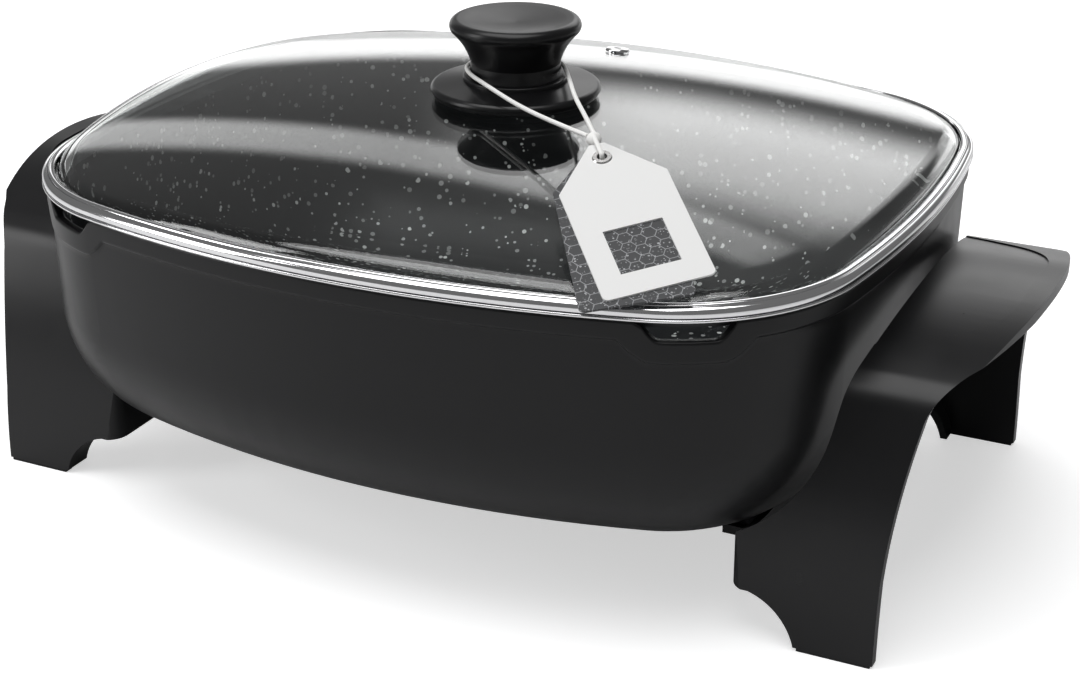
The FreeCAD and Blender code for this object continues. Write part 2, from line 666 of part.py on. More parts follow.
def bracket_shape(with_window):
    """One moulding: two legs, the handle over them and the skirt that ties them together."""
    wall = size("bracket_wall")
    inner = size("lug_inner")
    spread = size("leg_half_spread")
    contour = from_front(leg_contour(0))
    edge = rod(2 * size("handle_edge_radius"), size("bracket_top") + 20,
               Vector(size("handle_reach") - size("handle_edge_radius"), 0, -1))
    shell = arch_solid(0).cut(arch_solid(wall))
    flange = from_front(leg_contour(0)).cut(from_front(leg_contour(size("flange_wall"))))
    deep = arch_solid(0).cut(box(0, 400, -spread + size("flange_depth"),
                                 spread - size("flange_depth"), -1, 400))
    under_lug = box(0, size("foot_inner") + size("flange_wall"), -spread, spread, 0,
                    size("lug_bottom") + size("flange_wall"))
    shell = shell.fuse(deep.common(flange).common(under_lug))
    skirt = box(inner, inner + size("skirt_wall"), -spread, spread,
                size("lug_bottom"), size("lug_top"))
    skirt = skirt.common(arch_solid(0))
    for side in (-1, 1):
        tab = box(size("boss_distance") - size("tab_half_width") + 1, inner + 1,
                  side * size("boss_spread") - size("tab_half_width"),
                  side * size("boss_spread") + size("tab_half_width"),
                  size("lug_bottom"), size("lug_bottom") + size("tab_thickness"))
        skirt = skirt.fuse(tab)
    if with_window:
        window = size("guard_half_width") + 2.4
        skirt = skirt.cut(box(inner - 5, inner + 20, -window, window, 0, 100))
    upper = shell.common(contour).common(edge)
    corner_block = box(inner, 300, -spread, spread, -1, 200)
    upright = [line for line in corner_block.Edges
               if abs(line.tangentAt(0).z) > 0.99 and line.Vertexes[0].X < inner + 1]
    corner_block = corner_block.makeFillet(size("lug_corner"), upright)
    solid = upper.common(corner_block)
    wall_part = skirt.common(corner_block.fuse(box(100, inner + 1, -spread + 20, spread - 20, 0, 200)))
    solid = solid.fuse(wall_part).cut(pan_space())
    skin = arch_solid(-1).cut(arch_solid(size("crease_depth"))).common(crease_prism())
    solid = solid.cut(skin)
    for side in (-1, 1):
        centre = Vector(size("boss_distance"), side * size("boss_spread"), 0)
        solid = solid.cut(rod(size("screw_diameter") + 2 * size("fit_gap"), 60, centre))
        foot_x = (size("foot_inner") + size("foot_outer")) / 2
        foot_y = side * (spread - size("bracket_wall") / 2 - 0.1)
        for shift in (-1, 1):
            stud = Vector(foot_x + shift * size("foot_outer") * 0.045, foot_y, -1)
            solid = solid.cut(rod(size("stud_diameter") + 2 * size("fit_gap"),
                                  size("stud_length") + size("pad_height") + 1.5, stud))
    solid = solid.cut(box(0, 400, -200, 200, -1, size("pad_height")))
    return solid.removeSplitter()


shape_node("right_bracket", bracket_shape(False))
shape_node("left_bracket", mirrored_x(bracket_shape(True)))


# Foot pads and bracket screws

for end, sign_x in (("left", -1), ("right", 1)):
    for row_name, sign_y in (("front", -1), ("back", 1)):
        length = size("foot_outer") - size("foot_inner") - 2 * size("pad_margin")
        width = size("bracket_wall") - 2 * size("fit_gap")
        middle_x = sign_x * (size("foot_inner") + size("foot_outer")) / 2
        middle_y = sign_y * (size("leg_half_spread") - size("bracket_wall") / 2 - 0.1)
        pad = box(middle_x - length / 2, middle_x + length / 2, middle_y - width / 2,
                  middle_y + width / 2, 0, size("pad_height"))
        for shift in (-1, 1):
            pad = pad.fuse(rod(size("stud_diameter"), size("stud_length"),
                               Vector(middle_x + shift * size("foot_outer") * 0.045, middle_y,
                                      size("pad_height") - 0.5)))
        shape_node("foot_pad_%s_%s" % (row_name, end), pad.removeSplitter())

for end, sign_x in (("left", -1), ("right", 1)):
    group = new_node("Part::Compound", "bracket_screws_" + end)
    links = []
    for row_name, sign_y in (("front", -1), ("back", 1)):
        name = "screw_%s_%s" % (row_name, end)
        head = tool("Part::Cone", name + "_head", {
            "Radius1": "screw_head_diameter / 2 - 1", "Radius2": "screw_head_diameter / 2",
            "Height": "screw_head_height"}, {
            "x": "%d * boss_distance" % sign_x, "y": "%d * boss_spread" % sign_y,
            "z": "lug_bottom - screw_head_height"})
        shank = tool("Part::Cylinder", name + "_shank", {
            "Radius": "screw_diameter / 2", "Height": "screw_grip"}, {
            "x": "%d * boss_distance" % sign_x, "y": "%d * boss_spread" % sign_y,
            "z": "lug_bottom"})
        screw = doc.addObject("Part::Fuse", name)
        screw.Base = head
        screw.Tool = shank
        links.append(screw)
    group.Links = links


# Lid

def glass_crown(drop, inset, shoulder, low):
    """The glass above its flange: a bow along X carried round a bow along Y."""
    top = size("glass_top") - drop
    short = size("glass_bow_short") - drop
    long = size("glass_bow_long") - drop
    half = size("lid_half_width")
    sink = short - math.sqrt(short ** 2 - half ** 2)
    floor_z = low - 60
    section = Part.Face(Part.Wire([
        Part.Arc(Vector(0, -half, top - sink), Vector(0, 0, top),
                 Vector(0, half, top - sink)).toShape(),
        Part.makeLine(Vector(0, half, top - sink), Vector(0, half, floor_z)),
        Part.makeLine(Vector(0, half, floor_z), Vector(0, -half, floor_z)),
        Part.makeLine(Vector(0, -half, floor_z), Vector(0, -half, top - sink))]))
    sweep = math.degrees(math.asin(size("lid_half_length") / (long - 40)))
    centre = Vector(0, 0, top - long)
    section.rotate(centre, Vector(0, 1, 0), -sweep)
    dome = section.revolve(centre, Vector(0, 1, 0), 2 * sweep)
    block = slab(inset, low, top + 5).common(dome)
    rim = [edge for edge in block.Edges
           if min(vertex.Z for vertex in edge.Vertexes) > low + 1
           and abs(edge.Vertexes[0].Z - edge.Vertexes[-1].Z) < 12
           and not is_upright(edge)]
    return block.makeFillet(shoulder, rim)


def is_upright(edge):
    """True for a straight edge along Z."""
    first = edge.Vertexes[0].Point
    last = edge.Vertexes[-1].Point
    return abs(first.x - last.x) + abs(first.y - last.y) < 1e-4


def glass_shape():
    """Tempered glass: a flat flange in the steel rim and a bowed top with a rounded shoulder."""
    seat = size("pan_top") + size("lid_gap") + size("rim_sheet") + size("seat_gap")
    wall = size("glass_wall")
    flange = slab(size("rim_sheet") + size("seat_gap"), seat, seat + wall)
    outer = glass_crown(0, size("glass_inset"), size("glass_shoulder"), seat)
    inner = glass_crown(wall, size("glass_inset") + wall, size("glass_shoulder") - wall / 2,
                        seat - 10)
    glass = flange.fuse(outer).cut(inner)
    glass = glass.cut(rod(size("knob_screw_diameter") + 2, 200, Vector(0, 0, 100)))
    vent = rod(size("vent_shank") + 2 * size("seat_gap"), 60, vent_point() - vent_axis() * 30,
               vent_axis())
    return glass.cut(vent).removeSplitter()


def vent_point():
    """Where the vent's axis meets the top of the glass."""
    offset = size("vent_offset")
    bow = size("glass_bow_short")
    return Vector(0, offset, size("glass_top") - bow + math.sqrt(bow ** 2 - offset ** 2))


def vent_axis():
    """Upward normal of the glass at the vent."""
    lean = math.asin(size("vent_offset") / size("glass_bow_short"))
    return Vector(0, math.sin(lean), math.cos(lean))


shape_node("lid_glass", glass_shape())


def rim_shape():
    """Rolled steel rim: it grips the glass and drops a short skirt inside the pan."""
    low = size("pan_top") + size("lid_gap")
    high = low + size("rim_height")
    sheet_wall = size("rim_sheet")
    rim = ring(0, sheet_wall, low, high)
    rim = rim.fuse(ring(0, size("rim_bottom_width"), low, low + sheet_wall))
    rim = rim.fuse(ring(0, size("rim_top_width") - size("seat_gap"), high - sheet_wall, high))
    skirt_out = size("rim_bottom_width") - sheet_wall
    rim = rim.fuse(ring(skirt_out, size("rim_bottom_width"), low - size("rim_skirt"),
                        low + sheet_wall))
    outer = [edge for edge in rim.Edges
             if min(vertex.Z for vertex in edge.Vertexes) > high - 1e-6
             and edge.BoundBox.XMax - edge.BoundBox.XMin > 0
             and abs(distance_from_outline(edge)) < 1e-4]
    return rim.makeFillet(sheet_wall * 0.7, outer).removeSplitter()


def distance_from_outline(edge):
    """How far an edge's middle lies from the lid's outer plan outline."""
    middle = edge.valueAt((edge.FirstParameter + edge.LastParameter) / 2)
    return plan_wire(0, middle.z).distToShape(Part.Vertex(middle))[0]


shape_node("lid_rim", rim_shape())

vent = turned("steam_vent", [
    ("vent_bore / 2", "-glass_wall - seat_gap - vent_flange_height", None),
    ("vent_flange / 2", "-glass_wall - seat_gap - vent_flange_height", None),
    ("vent_flange / 2", "-glass_wall - seat_gap", None),
    ("vent_shank / 2", "-glass_wall - seat_gap", None),
    ("vent_shank / 2", "seat_gap", None),
    ("vent_flange / 2", "seat_gap", None),
    ("vent_flange / 2", "seat_gap + vent_flange_height / 2",
     ("vent_flange_height", 1)),
    ("vent_flange / 2 - vent_flange_height / 2", "seat_gap + vent_flange_height", None),
    ("vent_bore / 2", "seat_gap + vent_flange_height", None)])
vent.Placement = Placement(vent_point(), Rotation(AXIS_Z, vent_axis()))


# Knob

GLASS_TOP = "glass_top + gasket_height"

turned("knob_base", [
    ("knob_screw_diameter / 2 + fit_gap", GLASS_TOP, None),
    ("knob_base_radius - 1.6", GLASS_TOP, ("2 * knob_base_edge", 1)),
    ("knob_base_radius", GLASS_TOP + " + knob_base_edge", ("knob_base_edge", 1)),
    ("knob_base_radius - 2.4", GLASS_TOP + " + knob_base_edge * 1.9", None),
    ("collar_radius", GLASS_TOP + " + knob_base_height", None),
    ("knob_screw_diameter / 2 + fit_gap", GLASS_TOP + " + knob_base_height", None)])

turned("knob_collar", [
    ("knob_screw_diameter / 2 + fit_gap", GLASS_TOP + " + knob_base_height", None),
    ("collar_radius", GLASS_TOP + " + knob_base_height", None),
    ("collar_radius", GLASS_TOP + " + knob_base_height + collar_height - 0.8", ("0.8", 1)),
    ("collar_radius - 0.8", GLASS_TOP + " + knob_base_height + collar_height", None),
    ("knob_screw_diameter / 2 + fit_gap", GLASS_TOP + " + knob_base_height + collar_height",
     None)])

NECK_FOOT = GLASS_TOP + " + knob_base_height + collar_height"
KNOB_TOP = "glass_top + knob_height"
turned("knob_grip", [
    ("0", "glass_top + knob_screw_reach + 1", None),
    ("knob_screw_diameter / 2 + fit_gap", "glass_top + knob_screw_reach + 1", None),
    ("knob_screw_diameter / 2 + fit_gap", NECK_FOOT, None),
    ("neck_radius + 0.8", NECK_FOOT, None),
    ("neck_radius", NECK_FOOT + " + neck_height", ("flare_radius", -1)),
    ("knob_top_radius - 1.2", KNOB_TOP + " - knob_lip - 1.6", ("knob_lip * 0.82", 1)),
    ("knob_top_radius - 4.2", KNOB_TOP, None),
    ("knob_top_radius - 7.2", KNOB_TOP + " - 0.3", ("8 * knob_top_radius", -1)),
    ("0", KNOB_TOP + " - knob_dish", None)])

for label, lower in (("knob_gasket", "glass_top"),
                     ("screw_gasket", "glass_top - glass_wall - gasket_height - fit_gap")):
    outer = "gasket_radius" if label == "knob_gasket" else "washer_radius + 1.5"
    turned(label, [
        ("knob_screw_diameter / 2 + fit_gap", lower, None),
        (outer, lower, None),
        (outer, lower + " + gasket_height", None),
        ("knob_screw_diameter / 2 + fit_gap", lower + " + gasket_height", None)])

WASHER_LOW = "glass_top - glass_wall - gasket_height - washer_height - fit_gap"
turned("knob_washer", [
    ("knob_screw_diameter / 2 + fit_gap", WASHER_LOW, None),
    ("washer_radius", WASHER_LOW, None),
    ("washer_radius", WASHER_LOW + " + washer_height", None),
    ("knob_screw_diameter / 2 + fit_gap", WASHER_LOW + " + washer_height", None)])

turned("knob_screw", [
    ("0", WASHER_LOW + " - knob_screw_head_height", None),
    ("knob_screw_head / 2 - 1.4", WASHER_LOW + " - knob_screw_head_height", None),
    ("knob_screw_head / 2", WASHER_LOW + " - knob_screw_head_height + 1.4", None),
    ("knob_screw_head / 2", WASHER_LOW, None),
    ("knob_screw_diameter / 2", WASHER_LOW, None),
    ("knob_screw_diameter / 2", "glass_top + knob_screw_reach", None),
    ("0", "glass_top + knob_screw_reach", None)])


# Hanging tag

def tag_placement(lower, turn):
    """Places a card that is drawn flat, its eyelet at the origin and its length along X."""
    eye = Vector(size("tag_eye_x"), size("tag_eye_y"), size("tag_eye_z"))
    aim = Rotation(AXIS_Z, size("tag_heading"))
    pitch = Rotation(Vector(0, 1, 0), size("tag_tilt"))
    roll = Rotation(Vector(1, 0, 0), size("tag_roll"))
    spin = Rotation(AXIS_Z, turn)
    whole = aim.multiply(pitch).multiply(roll).multiply(spin)
    return Placement(eye + whole.multVec(Vector(0, 0, -lower)), whole)


def card(label, length, thickness, half_width, placement):
    """A tag with bevelled upper corners, drawn flat with its eyelet at the origin."""
    body = new_node("PartDesign::Body", label)
    sketch = outline_sketch(body, "XY_Plane", [
        ("-tag_top", "-tag_top_half_width", None), ("tag_shoulder", "-" + half_width, None),
        (length, "-" + half_width, None), (length, half_width, None),
        ("tag_shoulder", half_width, None), ("-tag_top", "tag_top_half_width", None)])
    pad = body.newObject("PartDesign::Pad", "Card")
    pad.Profile = (sketch, [""])
    pad.setExpression("Length", bind(thickness))
    doc.recompute()
    reach = number_of(length)
    upright = ["Edge%d" % (place + 1) for place, edge in enumerate(pad.Shape.Edges)
               if abs(edge.Vertexes[0].X - edge.Vertexes[-1].X) < 1e-6
               and abs(edge.Vertexes[0].Y - edge.Vertexes[-1].Y) < 1e-6
               and edge.Vertexes[0].X > reach - 0.01]
    corners = body.newObject("PartDesign::Fillet", "Corners")
    corners.Base = (pad, upright)
    corners.setExpression("Radius", bind("tag_corner"))
    hole = outline_circle(body, "eyelet_bore + fit_gap + eyelet_lip")
    body.Tip = cut_through(body, hole, thickness, "EyeletHole")
    body.Placement = placement
    return body


def outline_circle(body, radius):
    """A circle about the body's own axis."""
    sketch = body.newObject("Sketcher::SketchObject", "Round")
    sketch.AttachmentSupport = [(plane_of(body, "XY_Plane"), "")]
    sketch.MapMode = "FlatFace"
    sketch.addGeometry(Part.Circle(Vector(0, 0, 0), AXIS_Z, number_of(radius)), False)
    sketch.addConstraint(Sketcher.Constraint("Coincident", 0, 3, -1, 1))
    place = sketch.addConstraint(Sketcher.Constraint("Radius", 0, number_of(radius)))
    sketch.setExpression("Constraints[%d]" % place, bind(radius))
    return sketch


def cut_through(body, sketch, thickness, name):
    """A pocket from the card's lower face right through it."""
    pocket = body.newObject("PartDesign::Pocket", name)
    pocket.Profile = (sketch, [""])
    pocket.Reversed = True
    pocket.setExpression("Length", bind(thickness + " + 1"))
    return pocket


front_card = card("tag_card", "tag_length", "tag_thickness", "tag_half_width",
                  tag_placement(0, 0))
window = outline_sketch(front_card, "XY_Plane", [
    ("window_near", "-window_half_width", None), ("window_far", "-window_half_width", None),
    ("window_far", "window_half_width", None), ("window_near", "window_half_width", None)],
    "Window")
front_card.Tip = cut_through(front_card, window, "tag_thickness", "WindowHole")
card("tag_backing", "tag_length + backing_extra", "backing_thickness", "tag_half_width",
     tag_placement(size("backing_thickness") + size("card_gap"), size("backing_turn")))

eyelet = turned("tag_eyelet", [
    ("eyelet_bore", "-backing_thickness - eyelet_lip", None),
    ("eyelet_radius", "-backing_thickness - eyelet_lip", None),
    ("eyelet_radius", "-backing_thickness", None),
    ("eyelet_bore + eyelet_lip", "-backing_thickness", None),
    ("eyelet_bore + eyelet_lip", "tag_thickness", None),
    ("eyelet_radius", "tag_thickness", None),
    ("eyelet_radius - eyelet_lip", "tag_thickness + eyelet_lip", None),
    ("eyelet_bore", "tag_thickness + eyelet_lip", None)])
eyelet.Placement = tag_placement(0, 0)


def knot_shape():
    """Overhand knot against the tag's upper end, with the strand that goes through the eyelet."""
    radius = size("knot_radius")
    strand = size("string_diameter")
    start = -size("tag_top") - radius - size("seat_gap")
    over = size("tag_thickness") + size("eyelet_lip") + size("seat_gap") + strand / 2
    knot = Part.makeSphere(radius, Vector(start, 0, size("tag_thickness") / 2))
    knot = knot.fuse(rod(strand, -start, Vector(start, 0, over), Vector(1, 0, 0)))
    knot = knot.fuse(Part.makeSphere(strand / 2, Vector(0, 0, over)))
    depth = over + size("backing_thickness")
    return knot.fuse(rod(strand, depth, Vector(0, 0, over - depth)))


knot = shape_node("tag_knot", knot_shape())
knot.Placement = tag_placement(0, 0)

# Route of the string: from the knot round the back of the knob's neck and back to the knot
STRING_ROUTE = [
    Vector(76.4, -80.6, 198.8), Vector(61.2, -56.2, 197.6), Vector(44.0, -30.2, 196.7),
    Vector(29.5, -4.9, 196.5), Vector(14.9, 18.9, 196.6), Vector(-1.0, 24.1, 196.3),
    Vector(-16.4, 17.7, 196.4), Vector(-23.9, 2.7, 196.2), Vector(-20.0, -13.5, 196.3),
    Vector(3.5, -32.5, 196.1), Vector(27.0, -50.5, 195.7), Vector(51.5, -67.0, 196.6),
    Vector(74.2, -82.3, 198.4)]


def cord_path(points):
    """Straight runs joined by tangent arcs, each as large as its two runs allow."""
    edges = []
    radii = []
    last = points[0]
    for before, corner, after in zip(points, points[1:], points[2:]):
        into = (corner - before).normalize()
        out = (after - corner).normalize()
        half_turn = into.getAngle(out) / 2
        trim = 0.45 * min((corner - before).Length, (after - corner).Length)
        radius = trim / math.tan(half_turn)
        first = corner - into * trim
        final = corner + out * trim
        inward = (out - into).normalize()
        middle = corner + inward * (radius / math.cos(half_turn) - radius)
        edges.append(Part.LineSegment(last, first).toShape())
        edges.append(Part.Arc(first, middle, final).toShape())
        radii.append(round(radius, 1))
        last = final
    edges.append(Part.LineSegment(last, points[-1]).toShape())
    return Part.Wire(edges), radii


def string_shape():
    """The cotton string as a tube along its route."""
    path, radii = cord_path(STRING_ROUTE)
    start = STRING_ROUTE[0]
    heading = STRING_ROUTE[1] - start
    circle = Part.Wire(Part.makeCircle(size("string_diameter") / 2, start, heading))
    tube = path.makePipeShell([circle], True, False)
    section = math.pi * size("string_diameter") ** 2 / 4
    print("string length %.1f, volume ratio %.4f, radii %s" % (
        path.Length, tube.Volume / (section * path.Length), radii))
    return tube


shape_node("tag_string", string_shape())


# Checks and files

doc.recompute()
for item in doc.Objects:
    if "Invalid" in item.State or "Error" in item.State:
        raise RuntimeError("%s failed: %s" % (item.Label, item.State))
for item in nodes:
    if item.Shape.isNull() or not item.Shape.isValid():
        raise RuntimeError("%s has no valid shape" % item.Label)

os.makedirs("parts", exist_ok=True)
for item in nodes:
    item.Shape.exportStep("parts/%s.step" % item.Label)
    bounds = item.Shape.BoundBox
    print("%-24s solids %d  faces %3d  volume %9.0f  x %7.1f %7.1f  y %7.1f %7.1f  z %6.1f %6.1f" % (
        item.Label, len(item.Shape.Solids), len(item.Shape.Faces), item.Shape.Volume,
        bounds.XMin, bounds.XMax, bounds.YMin, bounds.YMax, bounds.ZMin, bounds.ZMax))
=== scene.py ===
# %% [markdown]
# An electric skillet stands on a pale table: a deep black pan on two moulded
# brackets, a glass lid with a steel rim and a knob, and a blank card tied to
# the knob. The construction model arrives first as a fixed frame of named
# pieces in metres, so every new piece is placed by that frame's own sizes.

# %% Load the frame
import math

import bpy
from mathutils import Euler, Matrix, Vector


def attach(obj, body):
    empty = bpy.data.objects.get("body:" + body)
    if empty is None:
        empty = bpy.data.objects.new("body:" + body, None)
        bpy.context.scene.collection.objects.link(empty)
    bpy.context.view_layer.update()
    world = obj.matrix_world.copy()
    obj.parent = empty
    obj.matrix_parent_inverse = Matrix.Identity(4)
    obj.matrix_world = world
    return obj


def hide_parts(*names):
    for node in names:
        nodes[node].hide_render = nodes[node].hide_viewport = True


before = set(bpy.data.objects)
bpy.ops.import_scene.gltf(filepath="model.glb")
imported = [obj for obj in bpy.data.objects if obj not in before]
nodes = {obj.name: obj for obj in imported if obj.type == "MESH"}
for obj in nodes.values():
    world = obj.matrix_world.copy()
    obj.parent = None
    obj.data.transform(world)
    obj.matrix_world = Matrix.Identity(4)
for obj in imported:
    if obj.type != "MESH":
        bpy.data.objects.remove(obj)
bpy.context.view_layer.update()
MM = 0.001
scene = bpy.context.scene

# %% [markdown]
# The picture was taken from the front right, a little above the lid. The
# camera stands a metre away from the middle of the skillet, and its lens is a
# short telephoto one, so the upright sides hardly lean.

# %% Camera
AIM = Vector((24.38, -24.74, 72.95)) * MM
CAMERA_BEARING = math.radians(25.82)
CAMERA_RISE = math.radians(23.67)
CAMERA_DISTANCE = 1.0011
CAMERA_LENS = 71.2
SENSOR_WIDTH = 36.0
FARTHEST_SEEN = 50.0

camera_data = bpy.data.cameras.new("camera")
camera_data.lens = CAMERA_LENS
camera_data.sensor_width = SENSOR_WIDTH
camera_data.clip_end = FARTHEST_SEEN
camera = bpy.data.objects.new("camera", camera_data)
scene.collection.objects.link(camera)
camera.rotation_euler = (math.pi / 2 - CAMERA_RISE, 0, CAMERA_BEARING)
away = Vector((math.sin(CAMERA_BEARING) * math.cos(CAMERA_RISE),
               -math.cos(CAMERA_BEARING) * math.cos(CAMERA_RISE),
               math.sin(CAMERA_RISE)))
camera.location = AIM + away * CAMERA_DISTANCE
scene.camera = camera
scene.view_settings.view_transform = "Standard"
print("camera at", [round(c, 3) for c in camera.location])

# %% [markdown]
# Every operator works on what is selected, and the frame leaves its pieces
# selected. These small helpers clear the selection, pick one object, and
# finish a piece, so that each later cell can start clean.

# %% Helpers for selecting
def deselect_all():
    if bpy.context.object and bpy.context.object.mode != "OBJECT":
        bpy.ops.object.mode_set(mode="OBJECT")
    bpy.ops.object.select_all(action="DESELECT")


def pick(piece):
    """The piece alone is selected and active."""
    deselect_all()
    piece.select_set(True)
    bpy.context.view_layer.objects.active = piece


def triangles(piece):
    return sum(len(p.vertices) - 2 for p in piece.data.polygons)


def apply_all(piece):
    """The piece's modifiers go into its mesh."""
    pick(piece)
    for modifier in list(piece.modifiers):
        bpy.ops.object.modifier_apply(modifier=modifier.name)


def smooth(piece, degrees):
    """Edges that bend by less than the angle are lit as one surface."""
    pick(piece)
    bpy.ops.object.shade_smooth_by_angle(angle=math.radians(degrees))


def weigh_normals(piece):
    """Large faces decide how a smooth surface is lit, and slivers don't."""
    even = piece.modifiers.new("even_normals", "WEIGHTED_NORMAL")
    even.keep_sharp = True
    apply_all(piece)


print("helpers for selecting and shading ready")

# %% [markdown]
# The lamps, the floor and the finishes are all node trees, and much of what
# they work out is plain arithmetic. One helper makes a Math node and either
# sets or links each of its inputs.

# %% Helper for arithmetic in a node tree
def math_node(owner, operation, first, second=None, third=None):
    """A Math node, whose inputs are numbers or the outputs of other nodes."""
    made = owner.nodes.new("ShaderNodeMath")
    made.operation = operation
    for socket, value in zip(made.inputs, (first, second, third)):
        if isinstance(value, (int, float)):
            socket.default_value = value
        elif value is not None:
            owner.links.new(value, socket)
    return made.outputs[0]


print("arithmetic helper ready")

# %% [markdown]
# A picture for a shop is taken on a white sweep under large soft lights. The
# floor is pale, and it adds a little light of its own to what the camera sees
# of it, straight on or through the glass, so that it comes out white while the
# soft shadow under the skillet stays.

# %% Floor
FLOOR_SIZE = 14
FLOOR_COLOUR = (0.86, 0.86, 0.865, 1)
FLOOR_ROUGHNESS = 0.9
FLOOR_SHINE = 0.1
FLOOR_GLOW = 0.55
deselect_all()
bpy.ops.mesh.primitive_grid_add(x_subdivisions=4, y_subdivisions=4, size=FLOOR_SIZE,
                                location=(0, 0, 0))
floor = bpy.context.object
floor.name = "floor"

floor_finish = bpy.data.materials.new("white_sweep")
floor_finish.use_nodes = True
tree = floor_finish.node_tree
shader = tree.nodes["Principled BSDF"]
shader.inputs["Base Color"].default_value = FLOOR_COLOUR
shader.inputs["Roughness"].default_value = FLOOR_ROUGHNESS
shader.inputs["Specular IOR Level"].default_value = FLOOR_SHINE
glow = tree.nodes.new("ShaderNodeEmission")
path = tree.nodes.new("ShaderNodeLightPath")
seen = math_node(tree, "MAXIMUM", path.outputs["Is Camera Ray"],
                 path.outputs["Is Transmission Ray"])
tree.links.new(math_node(tree, "MULTIPLY", seen, FLOOR_GLOW), glow.inputs["Strength"])
both = tree.nodes.new("ShaderNodeAddShader")
tree.links.new(shader.outputs[0], both.inputs[0])
tree.links.new(glow.outputs[0], both.inputs[1])
tree.links.new(both.outputs[0], tree.nodes["Material Output"].inputs["Surface"])
floor.data.materials.append(floor_finish)
print("floor", [round(d, 2) for d in floor.dimensions])

# %% [markdown]
# Two soft boxes do the work. One hangs overhead, and one stands to the left in
# front and draws the upright highlight on the pan's corner. The studio is dim
# otherwise, or the black pieces would mirror it and turn grey, but the camera
# sees it white.

# %% Lights
MIDDLE = Vector((0, 0, 0.12))


def soft_box(name, place, wide, high, watts):
    """A rectangular lamp that faces the middle of the skillet."""
    lamp = bpy.data.lights.new(name, "AREA")
    lamp.shape = "RECTANGLE"
    lamp.size = wide
    lamp.size_y = high
    lamp.energy = watts
    holder = bpy.data.objects.new(name, lamp)
    scene.collection.objects.link(holder)
    holder.location = place
    towards = MIDDLE - holder.location
    holder.rotation_euler = towards.to_track_quat("-Z", "Y").to_euler()
    return holder


WORLD_LEVEL = 0.16
world = bpy.data.worlds.new("studio")
world.use_nodes = True
tree = world.node_tree
backdrop = tree.nodes["Background"]
backdrop.inputs["Color"].default_value = (1, 1, 1, 1)
path = tree.nodes.new("ShaderNodeLightPath")
brightness = math_node(tree, "MAXIMUM", path.outputs["Is Camera Ray"], WORLD_LEVEL)
tree.links.new(brightness, backdrop.inputs["Strength"])
scene.world = world
soft_box("overhead_box", place=(-0.1, -0.35, 1.9), wide=2.0, high=1.5, watts=30)
soft_box("left_box", place=(-1.5, -1.25, 0.85), wide=0.7, high=1.2, watts=12)
print("world level", WORLD_LEVEL)

# %% [markdown]
# The glass mirrors what stands behind the skillet. Three white reflectors are
# there: a broad one for the pale right half of the lid, a long leaning one for
# the curved band at its left and front, and a low one for the haze along its
# far edge. They are lamps, because a white board would stand in the way of a
# view from behind, and each fades out towards its edges.

# %% Reflectors behind the skillet
def reflector(name, place, along, wide, high, watts, full_along, full_across):
    """A soft box whose long side lies along a direction, and that fades to its edges.

    It glows in full up to a share of its half width and of its half height."""
    holder = soft_box(name, place, wide, high, watts)
    away = (holder.location - MIDDLE).normalized()
    along = Vector(along)
    side = (along - away * away.dot(along)).normalized()
    holder.rotation_euler = Matrix((side, away.cross(side), away)).transposed().to_euler()
    holder.data.use_nodes = True
    tree = holder.data.node_tree
    spot = tree.nodes.new("ShaderNodeTexCoord")
    parts = tree.nodes.new("ShaderNodeSeparateXYZ")
    tree.links.new(spot.outputs["Object"], parts.inputs[0])
    shares = []
    for axis, (size, full) in enumerate(((wide, full_along), (high, full_across))):
        ramp = tree.nodes.new("ShaderNodeMapRange")
        ramp.interpolation_type = "SMOOTHERSTEP"
        ramp.inputs["From Min"].default_value = size / 2
        ramp.inputs["From Max"].default_value = size / 2 * full
        tree.links.new(math_node(tree, "ABSOLUTE", parts.outputs[axis]), ramp.inputs["Value"])
        shares.append(ramp.outputs["Result"])
    tree.links.new(math_node(tree, "MULTIPLY", *shares), tree.nodes["Emission"].inputs["Strength"])


reflector("right_reflector", place=(-0.25, 2.1, 1.2), along=(1, 0, 0), wide=2.2, high=1.5,
          watts=20, full_along=0.35, full_across=0.2)
reflector("band_reflector", place=(-1.05, 1.45, 1.2), along=(0.75, 0.3, 0.62), wide=2.2, high=0.3,
          watts=2.3, full_along=0.8, full_across=0.3)
reflector("low_reflector", place=(-0.8, 2.5, 0.24), along=(1, 0.3, 0), wide=5.0, high=0.7,
          watts=16, full_along=0.7, full_across=0.2)
print("three reflectors")

# %% [markdown]
# A white string is looped round the knob's neck and knotted at the card. It
# is one soft cord, so it is a single smooth curve through a few listed points,
# with a round section. The curve's order is set after its points, because a
# curve keeps order two while it is short. The points carry the string's radius,
# since they also set the size of the curve's box, and a bevel depth of one
# leaves that radius as it is.

# %% Tag string
STRING_DIAMETER = 2.0 * MM
STRING_ORDER = 3
STEPS_PER_POINT = 12
SECTION_STEPS = 4
STRING_ROUTE = [
    (76.4, -80.6, 198.8), (61.2, -56.2, 197.6), (44.0, -30.2, 196.7),
    (29.5, -4.9, 196.5), (14.9, 18.9, 196.6), (-1.0, 24.1, 196.3),
    (-16.4, 17.7, 196.4), (-23.9, 2.7, 196.2), (-20.0, -13.5, 196.3),
    (3.5, -32.5, 196.1), (27.0, -50.5, 195.7), (51.5, -67.0, 196.6),
    (74.2, -82.3, 198.4),
]
curve = bpy.data.curves.new("string", "CURVE")
curve.dimensions = "3D"
line = curve.splines.new("NURBS")
line.points.add(len(STRING_ROUTE) - 1)
for point, place in zip(line.points, STRING_ROUTE):
    point.co = (*[c * MM for c in place], 1)
    point.radius = STRING_DIAMETER / 2
line.order_u = STRING_ORDER
line.use_endpoint_u = True
line.resolution_u = STEPS_PER_POINT
curve.bevel_depth = 1.0
curve.bevel_resolution = SECTION_STEPS
curve.use_fill_caps = True
string = bpy.data.objects.new("string", curve)
scene.collection.objects.link(string)
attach(string, "lid")
